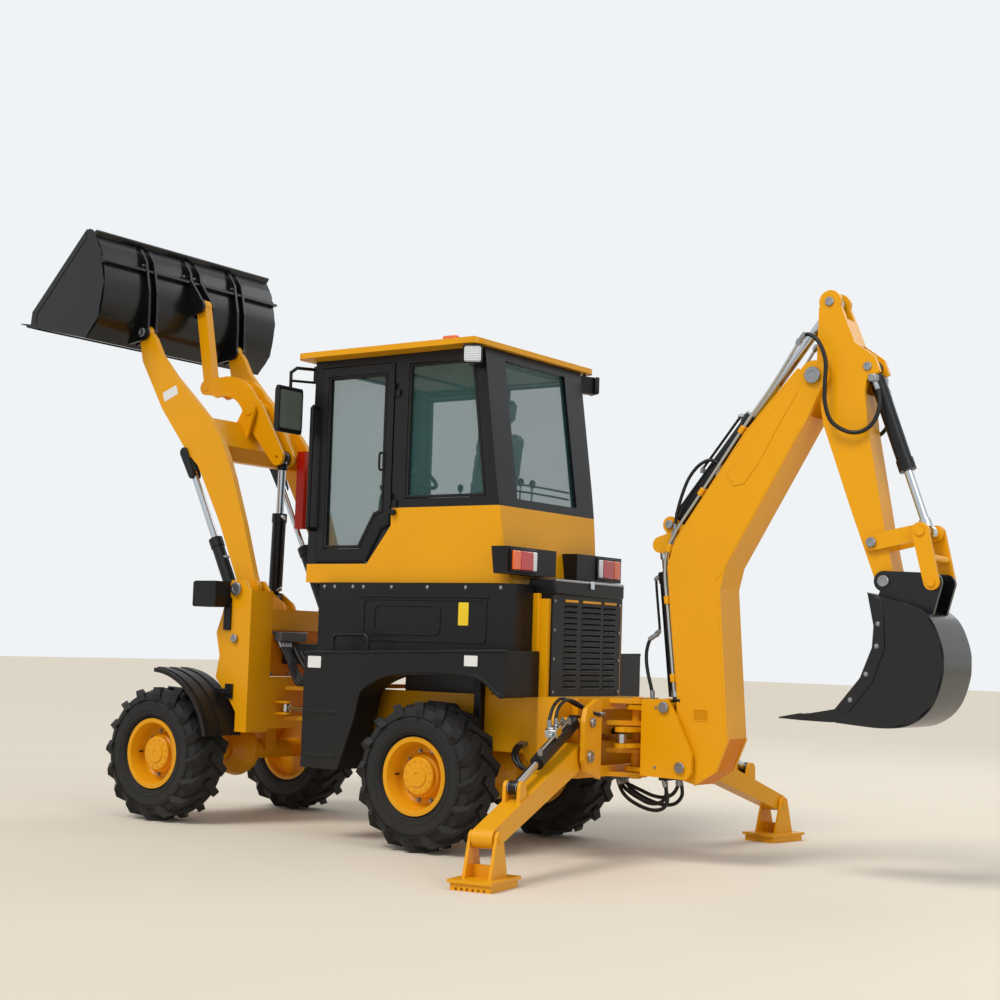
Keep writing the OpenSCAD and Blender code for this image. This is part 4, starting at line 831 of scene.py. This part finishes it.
def cushion(name, size, centre, lean, lines):
    """A cushion swelled by a cloth simulation under pressure, then sewn, piped and leant back about y."""
    full_size = Vector(size) / 1000
    start_size = full_size - Vector((SEAT_INSET, SEAT_INSET, SEAT_INSET)) * 2
    bm = bmesh.new()
    bmesh.ops.create_cube(bm, size=1)
    for v in bm.verts:
        v.co *= start_size
    bmesh.ops.bevel(bm, geom=list(bm.edges), offset=0.02, segments=3, affect="EDGES")
    me = bpy.data.meshes.new(name)
    bm.to_mesh(me)
    bm.free()
    o = bpy.data.objects.new(name, me)
    bpy.context.scene.collection.objects.link(o)
    voxels = o.modifiers.new("voxels", "REMESH")
    voxels.mode = "VOXEL"
    voxels.voxel_size = 0.006
    start = settled(o)
    o.data = start
    rest = [v.co.copy() for v in start.vertices]
    cloth = o.modifiers.new("cloth", "CLOTH")
    cloth.settings.use_pressure = True
    cloth.settings.uniform_pressure_force = 4
    cloth.settings.effector_weights.gravity = 0
    cloth.point_cache.frame_start = 1
    cloth.point_cache.frame_end = SEAT_FRAMES
    for f in range(1, SEAT_FRAMES + 1):
        bpy.context.scene.frame_set(f)
    full = settled(o)
    bpy.context.scene.frame_set(1)
    for v, r in zip(full.vertices, rest):
        d = v.co - r
        if d.length > SEAT_SWELL:
            d *= SEAT_SWELL / d.length
        v.co = r + d
    o.data = full
    bm = bmesh.new()
    bm.from_mesh(o.data)
    sewn(bm, full_size.z * 0.2, [c / 1000 for c in lines])
    waist = [v.co for v in bm.verts if abs(v.co.z) < full_size.z * 0.1]
    ex = max(c.x for c in waist) - 0.001
    ey = max(c.y for c in waist) - 0.001
    loop = [Vector((a, b, 0)) for a, b in rounded(-ex, -ey, ex, ey, 0.03)]
    tube_into(bm, loop + loop[:1], 0.0035, 8, False)
    bm.to_mesh(o.data)
    bm.free()
    o.data.transform(Matrix.Translation(P(*centre)) @ Matrix.Rotation(math.radians(lean), 4, "Y"))
    o.data.materials.clear()
    o.data.materials.append(CLOTH)
    o.data.shade_smooth()
    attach(o, "rear_frame")
    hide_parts("cab_seat")


cushion("seat_cushion", (460, 460, 110), (290, 0, 1884), 0, (-150, -50, 50, 150))
cushion("seat_back", (500, 440, 100), (35, 0, 2185), 82, (-170, -85, 0, 85, 170))
cushion("seat_headrest", (160, 260, 80), (0, 0, 2540), 82, (0,))
for tag, s in SIDES:
    pipe(
        "headrest_post_" + tag, [(-2, s * 60, 2400), (-6, s * 60, 2440), (-4, s * 60, 2480)], 6, CHROME,
        REAR, step=3,
    )
bm = bmesh.new()
for k in range(6):
    z = 1590 + k * 32
    ring = ((200, z), (228, z + 16), (200, z + 32))
    for folds in zip(ring, ring[1:]):
        a, b = [], []
        for made, (wide, level) in zip((a, b), folds):
            g = wide * 0.85
            made += [bm.verts.new(P(290 + u, v, level)) for u, v in rounded(-g * 0.92, -g, g * 0.92, g, 50)]
        for i in range(len(a)):
            j = (i + 1) % len(a)
            bm.faces.new((a[i], a[j], b[j], b[i]))
finish_mesh("seat_bellows", bm, SEAL, REAR, smooth=30)
block("seat_plinth", (100, -200, 1532), (480, 200, 1592), LINING, REAR, 8)
block("seat_pan", (80, -215, 1782), (500, 215, 1832), LINING, REAR, 10)
# steering: console, raked column and wheel with three spokes
RAKE = Vector((-math.sin(math.radians(35)), 0, math.cos(math.radians(35))))
slab("console", [
    [765, 1532], [880, 1532], [878, 1880], [862, 2040], [835, 2088], [785, 2080], [762, 2030],
], -90, 90, LINING, REAR, 12)
slab("console_hood", [
    [770, 2060], [840, 2080], [848, 2110], [800, 2104], [768, 2078],
], -110, 110, SEAL, REAR, 6)
turned("steer_column", (790, 0, 2050), RAKE, [
    [30, 0], [30, 60], [24, 66], [22, 150], [30, 158], [30, 172], [0, 176],
], SEAL, REAR, 20)
hub = P(790, 0, 2050) + RAKE * 0.178
flat = Vector((0, 1, 0))
rise = RAKE.cross(flat)
ring = [hub + spoke(flat, rise, k, 40) * 0.178 for k in range(41)]
bm = bmesh.new()
tube_into(bm, ring, 0.013, 12, False)
for k in range(3):
    way = spoke(flat, rise, 0.75 + k, 3)
    tube_into(bm, [
        hub - RAKE * 0.012, hub - RAKE * 0.006 + way * 0.1, hub + way * 0.176,
    ], [0.014, 0.010, 0.008], 8)
finish_mesh("steering_wheel", bm, SEAL, REAR, smooth=50)
for k, (x, y, top) in enumerate(
    (
        (560, 300, 2105), (600, 330, 2085), (540, -300, 2100), (-170, 140, 2080), (-170, 60, 2080),
        (-170, -60, 2080),
    )
):
    pipe("lever_rod_%d" % k, [(x, y, 1532), (x, y, 1800), (x - 14, y, top)], 6, STEEL, REAR, step=4)
    turned(
        "lever_knob_%d" % k, (x - 14, y, top), (0, 0, 1),
        [[8, -6], [14, 2], [19, 18], [18, 32], [10, 42], [0, 45]], SEAL, REAR, 20,
    )
slab("side_console_l", [[500, 1532], [660, 1532], [650, 1800], [520, 1800]], 262, 372, LINING, REAR, 14)
slab("side_console_r", [[480, 1532], [660, 1532], [650, 1800], [500, 1800]], -372, -262, LINING, REAR, 14)
slab("hoe_console", [[-210, 1532], [-120, 1532], [-130, 1760], [-200, 1760]], -210, 210, LINING, REAR, 12)
block("floor_mat", (-300, -440, 1531), (1000, 440, 1537), SEAL, REAR, 2)
block("roof_lining", (-160, -448, 2777), (1000, 448, 2788), CREAM, REAR, 3)
turned(
    "roof_light", (330, 180, 2777), (0, 0, -1), [[70, 0], [68, 8], [52, 14], [50, 10], [20, 13], [0, 13]],
    CREAM, REAR, 32,
)
for k, z in enumerate((2030, 2070)):
    pipe("rear_rail_%d" % k, [(-262, -330, z), (-272, 0, z + 2), (-262, 330, z)], 6, SEAL, REAR, step=6)
for x in (-140, 560, 940):
    block("roof_bow_%d" % (x + 200), (x, -452, 2764), (x + 26, 452, 2778), LINING, REAR, 4)


# smooth plate over a faceted bucket back; nothing reaches past the far end of the machine
FAR_END = -2795


def skin(name, pts, y0, y1, mat, body, bulge=2.5, step=6):
    """A plate over the curve through [x, z] points, bulging out past it."""
    curve = curve_points([Vector((x, 0, z)) for x, z in pts], step)
    outer = [[max(FAR_END, x), z] for x, z in beside(curve, bulge)]
    inner = beside(curve, -5)
    return slab(name, outer + inner[::-1], y0, y1, mat, body, 0.8)


skin("loader_back", [
    (2805, 3070), (2690, 3200), (2652, 3430), (2700, 3650), (2752, 3742),
], -806, 806, BUCKET, "loader_bucket")
HOE_BACK = [
    (-2234, 815), (-2493, 800), (-2640, 830), (-2745, 930), (-2795, 1114), (-2760, 1275), (-2691, 1370),
    (-2565, 1420),
]
skin("hoe_back", HOE_BACK, -191.5, 191.5, BUCKET, "hoe_bucket", 3, 8)
for tag, s in SIDES:
    slab("hoe_side_cutter_" + tag, [
        [-2402, 1452], [-2434, 1300], [-2427, 1194], [-2366, 1042], [-2236, 884], [-2300, 862],
        [-2430, 1020], [-2492, 1190], [-2486, 1330], [-2470, 1440],
    ], s * 190, s * 197, BUCKET, "hoe_bucket", 3)
    bolts("hoe_cutter_bolts_" + tag, on_side(s, [
        (-2458, 197, 1310), (-2452, 197, 1200), (-2398, 197, 1060), (-2316, 197, 930),
    ]), (0, s, 0), 9, 8, STEEL, "hoe_bucket")
    slab("loader_side_edge_" + tag, [
        [2850, 3790], [3345, 3288], [3352, 3212], [3300, 3210], [3300, 3270], [2838, 3742],
    ], s * 815, s * 819, BUCKET, "loader_bucket", 2)
    bolts("loader_edge_bolts_" + tag, on_side(s, [
        (3390, 760, 3208), (3390, 560, 3208), (3390, 360, 3208), (3390, 120, 3208),
    ]), (-0.26, 0, 0.966), 12, 7, STEEL, "loader_bucket")
LEDGE = [(2668, s * (y + d), 3608) for s in (1, -1) for y in (418, 46) for d in (50, -50)]
bolts("loader_ledge_bolts", LEDGE, (-0.7, 0, 0.7), 8, 8, STEEL, "loader_bucket")

# boom: recessed pocket with its floor in painted shade, open foot with its inside in painted shade, weld
# beads and a doubler plate
for tag, s in SIDES:
    slab(
        "boom_pocket_frame_" + tag, rounded(-1476, 776, -1384, 842, 8), s * 109, s * 113, YELLOW, BOOM, 1,
        holes=[rounded(-1470, 782, -1390, 836, 5)],
    )
    # the pocket's floor is painted shade of the recess
    slab("boom_pocket_" + tag, rounded(-1470, 782, -1390, 836, 5), s * 109, s * 110.6, POCKET_PAINTED_SHADE, BOOM, 0.3)
    slab("boom_foot_rim_" + tag, [
        [-1590, 690], [-1520, 520], [-1400, 440], [-1396, 433], [-1526, 514], [-1598, 690],
    ], s * 92, s * 111, YELLOW, BOOM, 1.5)
    bm = bmesh.new()
    for line in ([
        (-1292, 470), (-1292, 900), (-1242, 1330), (-1214, 1600), (-1256, 1742), (-1652, 2292),
        (-1900, 2560),
    ], [(-1580, 700), (-1520, 1480), (-1550, 1590), (-1990, 2330)]):
        tube_into(bm, curve_points([P(x, s * 109.5, z) for x, z in line], 8), 0.003, 6)
    finish_mesh("boom_welds_" + tag, bm, YELLOW, BOOM, smooth=50)
    slab("boom_doubler_" + tag, [
        [-1560, 2090], [-1640, 2180], [-1770, 2350], [-1930, 2540], [-1960, 2510], [-1850, 2330],
        [-1740, 2140], [-1660, 2040], [-1600, 2030],
    ], s * 109, s * 114, YELLOW, BOOM, 2)
# the foot's inside is deeper yellow: painted shade inside the open foot
slab("boom_foot_inside", [
    [-1590, 690], [-1520, 520], [-1400, 440], [-1401, 437], [-1523, 516], [-1593, 690],
], -92, 92, DEEP_PAINTED_SHADE, BOOM, 0.5)
bolts(
    "post_grease", [(-1180, s * 153, 840) for s in (1, -1)] + [(-1180, s * 153, 520) for s in (1, -1)],
    (0, 1, 0), 6, 6, STEEL, POST,
)

# pins of the lift cylinders and of the tilt cylinder in the side view
E_LOW, E_TOP = (1600, 1140), (2215, 2332)
F_PIN = (1760, 2328)
H_PIN = (1780, 1400)

# loader arm: blank plate, pipes on the lift and tilt cylinders
u = Vector((155, -57)).normalized()
v = Vector((-u.y, u.x))
for tag, s in SIDES:
    ring = [[2378 + u.x * a + v.x * b, 2729 + u.y * a + v.y * b] for a, b in rounded(-66, -32, 66, 32, 5)]
    slab("blank_plate_arm_" + tag, ring, s * 438, s * 439.4, PLATE, "loader_arm", 0.5)
    steel_pipe("lift_pipe_" + tag, [
        axis_point(E_LOW, E_TOP, t, off, s * 428)
        for t, off in ((64, 44), (72, 52), (120, 54), (300, 54), (520, 54), (548, 50), (556, 40))
    ], 6, "lift_barrels", mat=BLACK)
    turned("lift_gland_" + tag, axis_point(E_LOW, E_TOP, 700, 0, s * 418), (615, 0, 1192), [
        [40, -30], [44, -28], [44, 4], [40, 8], [30, 9], [30, 12], [21, 12],
    ], BLACK, "lift_barrels", 28, caps=False)
steel_pipe("tilt_pipe", [
    axis_point(H_PIN, F_PIN, t, off, 20)
    for t, off in ((60, 46), (70, 56), (120, 58), (300, 58), (500, 58), (530, 54), (540, 44))
], 6, "tilt_barrel", mat=BLACK)

# hoses between the two frames, over the steering joint
for k, y in enumerate((-120, -70, 70, 120, 170)):
    hose("frame_hose_%d" % k, [
        (1470, y, 1010 + 22 * k), (1430, y * 1.05, 1006 + 20 * k), (1360, y * 1.15, 968 + 12 * k),
        (1260, y * 1.25, 930), (1150, y * 1.3, 918), (1050, y * 1.3, 944), (970, y * 1.2, 990 + 8 * k),
        (900, y, 1020 + 12 * k), (840, y, 1030 + 12 * k),
    ], 10.5, FRONT, REAR, 40)
block("frame_hose_bar_front", (1470, -190, 990), (1492, 220, 1120), SATIN, FRONT, 4)
block("frame_hose_bar_rear", (826, -190, 1010), (848, 220, 1100), SATIN, REAR, 4)
for k, x in enumerate((1520, 1545)):
    pipe("tower_pipe_%d" % k, [
        (x, 300, 1130), (x, 318, 1190), (x + 6, 322, 1330), (x + 40, 318, 1400),
    ], 7, PIPE, FRONT, step=6)

# stays of the wings and heads of the stabilizer pins
for tag, s in SIDES:
    block("wing_stay_" + tag, (-214, s * 386, 470), (-166, s * 432, 985), SATIN, REAR, 5)
    axis = st_axis(s)
    for k, (r, p) in enumerate(((32, (0, 578)), (26, (-20, 755)))):
        for e, d in (("a", -1), ("b", 1)):
            turned("stab_pin_%s%d%s" % (tag, k, e), st(s, d * 106, p[0], p[1]), axis * d, [
                [r, -4], [r, 8], [r - 4, 12], [r * 0.5, 12], [r * 0.45, 8], [0, 8],
            ], STEEL, REAR, 28)


# black eyes of the lift, tilt and stabilizer rods
def stadium(p, r1, q, r2, n=10):
    """Outline round two circles in the side view."""
    a = math.atan2(q[2] - p[2], q[0] - p[0])
    out = []
    for c, r, start in ((p, r1, a + math.pi / 2), (q, r2, a - math.pi / 2)):
        for k in range(n + 1):
            b = start + math.pi * k / n
            out.append([c[0] + r * math.cos(b), c[2] + r * math.sin(b)])
    return out


def eye_cover(name, centre, axis, r, bore, w, body):
    turned(name, centre, axis, [
        [bore, -w / 2], [r - 2, -w / 2], [r, 3 - w / 2], [r, w / 2 - 3], [r - 2, w / 2], [bore, w / 2],
    ], BLACK, body, 32, caps=False)


for tag, s in SIDES:
    for k, (a, b) in enumerate(((383, 395), (441.2, 453.2))):
        slab(
            "lift_fork_%s%d" % (tag, k),
            stadium(axis_point(E_TOP, E_LOW, 0), 33.2, axis_point(E_TOP, E_LOW, 166), 23.2), s * a, s * b,
            BLACK, "lift_rods", 2,
        )
    slab(
        "lift_fork_web_" + tag,
        stadium(axis_point(E_TOP, E_LOW, 154), 21.2, axis_point(E_TOP, E_LOW, 172), 21.2), s * 383,
        s * 453, BLACK, "lift_rods", 2,
    )
    eye_cover("stab_rod_eye_" + tag, st(s, 0, 700, 452), st_axis(s), 34.4, 13, 48.4, "stab_rod_" + tag)
eye_cover("tilt_rod_eye", (F_PIN[0], 0, F_PIN[1]), (0, 1, 0), 43.2, 22, 61, "tilt_rod")
turned(
    "tilt_rod_collar", (F_PIN[0], 0, F_PIN[1]), (H_PIN[0] - F_PIN[0], 0, H_PIN[1] - F_PIN[1]),
    [[30, 36], [34, 42], [34, 80], [28, 84], [26, 84]], BLACK, "tilt_rod", 28, caps=False,
)


# rounded lip and liner of the wheel arch
ARCH = [
    (-566, 872), (-520, 874), (-400, 958), (-250, 983), (0, 988), (250, 958), (430, 868), (482, 700),
    (590, 414),
]
line = curve_points([Vector((x, 0, z)) for x, z in ARCH], 8)
lip = beside(line, -5) + beside(line, 16)[::-1]
liner = beside(line, -3) + beside(line, 3)[::-1]
for tag, s in SIDES:
    slab("arch_lip_" + tag, lip, s * 692, s * 705, SATIN, REAR, 3)
    slab("arch_liner_" + tag, liner, s * 500, s * 696, SATIN, REAR, 0.8)

# bulkhead between the towers in deeper yellow as painted shade, valve block and the hoses that leave it
block("bulkhead", (1496, -344, 912), (1504, 344, 1202), DEEP_PAINTED_SHADE, FRONT, 1)
block("bulkhead_valve", (1430, 60, 1130), (1496, 300, 1190), CAST, FRONT, 6)
bolts("bulkhead_bolts", [
    (1496, y, z)
    for y in (-310, -150, 0, 150, 310)
    for z in (930, 1185)
], (-1, 0, 0), 8, 7, STEEL, FRONT)
for k in range(4):
    y = 200 + 28 * k
    hose("tower_hose_%d" % k, [
        (1460, y, 1128), (1440, y, 1090), (1402 - 8 * k, y + 4, 1010),
        (1352 - 10 * k, y + 8, 930 - 6 * k), (1272, y + 10, 892 - 8 * k), (1180, y + 8, 886),
        (1090, 250 + 6 * k, 906), (1000, 256 + 8 * k, 930), (930, 256 + 10 * k, 960),
        (884, 250 + 10 * k, 1000),
    ], 10, FRONT, REAR, 40)


# studio: pale floor, soft world, sun and two large lamps
FLOOR_HALF = 60.0
corners = [(-FLOOR_HALF, -FLOOR_HALF, 0.0), (FLOOR_HALF, -FLOOR_HALF, 0.0)]
corners += [(FLOOR_HALF, FLOOR_HALF, 0.0), (-FLOOR_HALF, FLOOR_HALF, 0.0)]
me = bpy.data.meshes.new("floor")
me.from_pydata(corners, [], [(0, 1, 2, 3)])
me.materials.append(plain("floor_pale", (228, 217, 198), 0.85, 0.6, 4.0, 0.95))
floor = bpy.data.objects.new("floor", me)
bpy.context.scene.collection.objects.link(floor)

# what the camera sees of the world is paler than what lights the machine
world = bpy.data.worlds.new("studio")
bpy.context.scene.world = world
world.use_nodes = True
tree = world.node_tree
tree.nodes.clear()
soft = add(tree, "Background", Color=(0.86, 0.92, 1.0, 1.0), Strength=0.55)
pale = add(tree, "Background", Color=srgb(240, 243, 245), Strength=1.0)
path = add(tree, "LightPath")
seen = combined(tree, "ADD", path.outputs["Is Camera Ray"], path.outputs["Is Glossy Ray"])
seen = combined(tree, "ADD", seen, path.outputs["Is Transmission Ray"])
mix = add(tree, "MixShader")
for k, source in enumerate((seen, soft.outputs[0], pale.outputs[0])):
    tree.links.new(source, mix.inputs[k])
tree.links.new(mix.outputs[0], add(tree, "OutputWorld").inputs["Surface"])


def light(name, kind, power, colour, aim, at=None):
    """A sun or a lamp whose light falls along the vector aim."""
    d = bpy.data.lights.new(name, kind)
    d.energy = power
    d.color = colour
    o = bpy.data.objects.new(name, d)
    bpy.context.scene.collection.objects.link(o)
    if at:
        o.location = at
    o.rotation_mode = "QUATERNION"
    o.rotation_quaternion = Vector(aim).to_track_quat("-Z", "Y")
    return d


sun = light("key", "SUN", 1.75, (1.0, 0.97, 0.93), (-1.0, -7.0, -9.0))
sun.angle = math.radians(24.0)
AIM_AT = Vector((0.0, 0.0, 1.4))
for name, at, power in (("fill", (-10.0, 4.0, 6.0), 240.0), ("back", (-2.0, -9.0, 8.0), 160.0)):
    lamp = light(name, "AREA", power, (0.96, 0.98, 1.0), AIM_AT - Vector(at), at)
    lamp.shape = "DISK"
    lamp.size = 6.0

bpy.context.scene.view_settings.view_transform = "Standard"
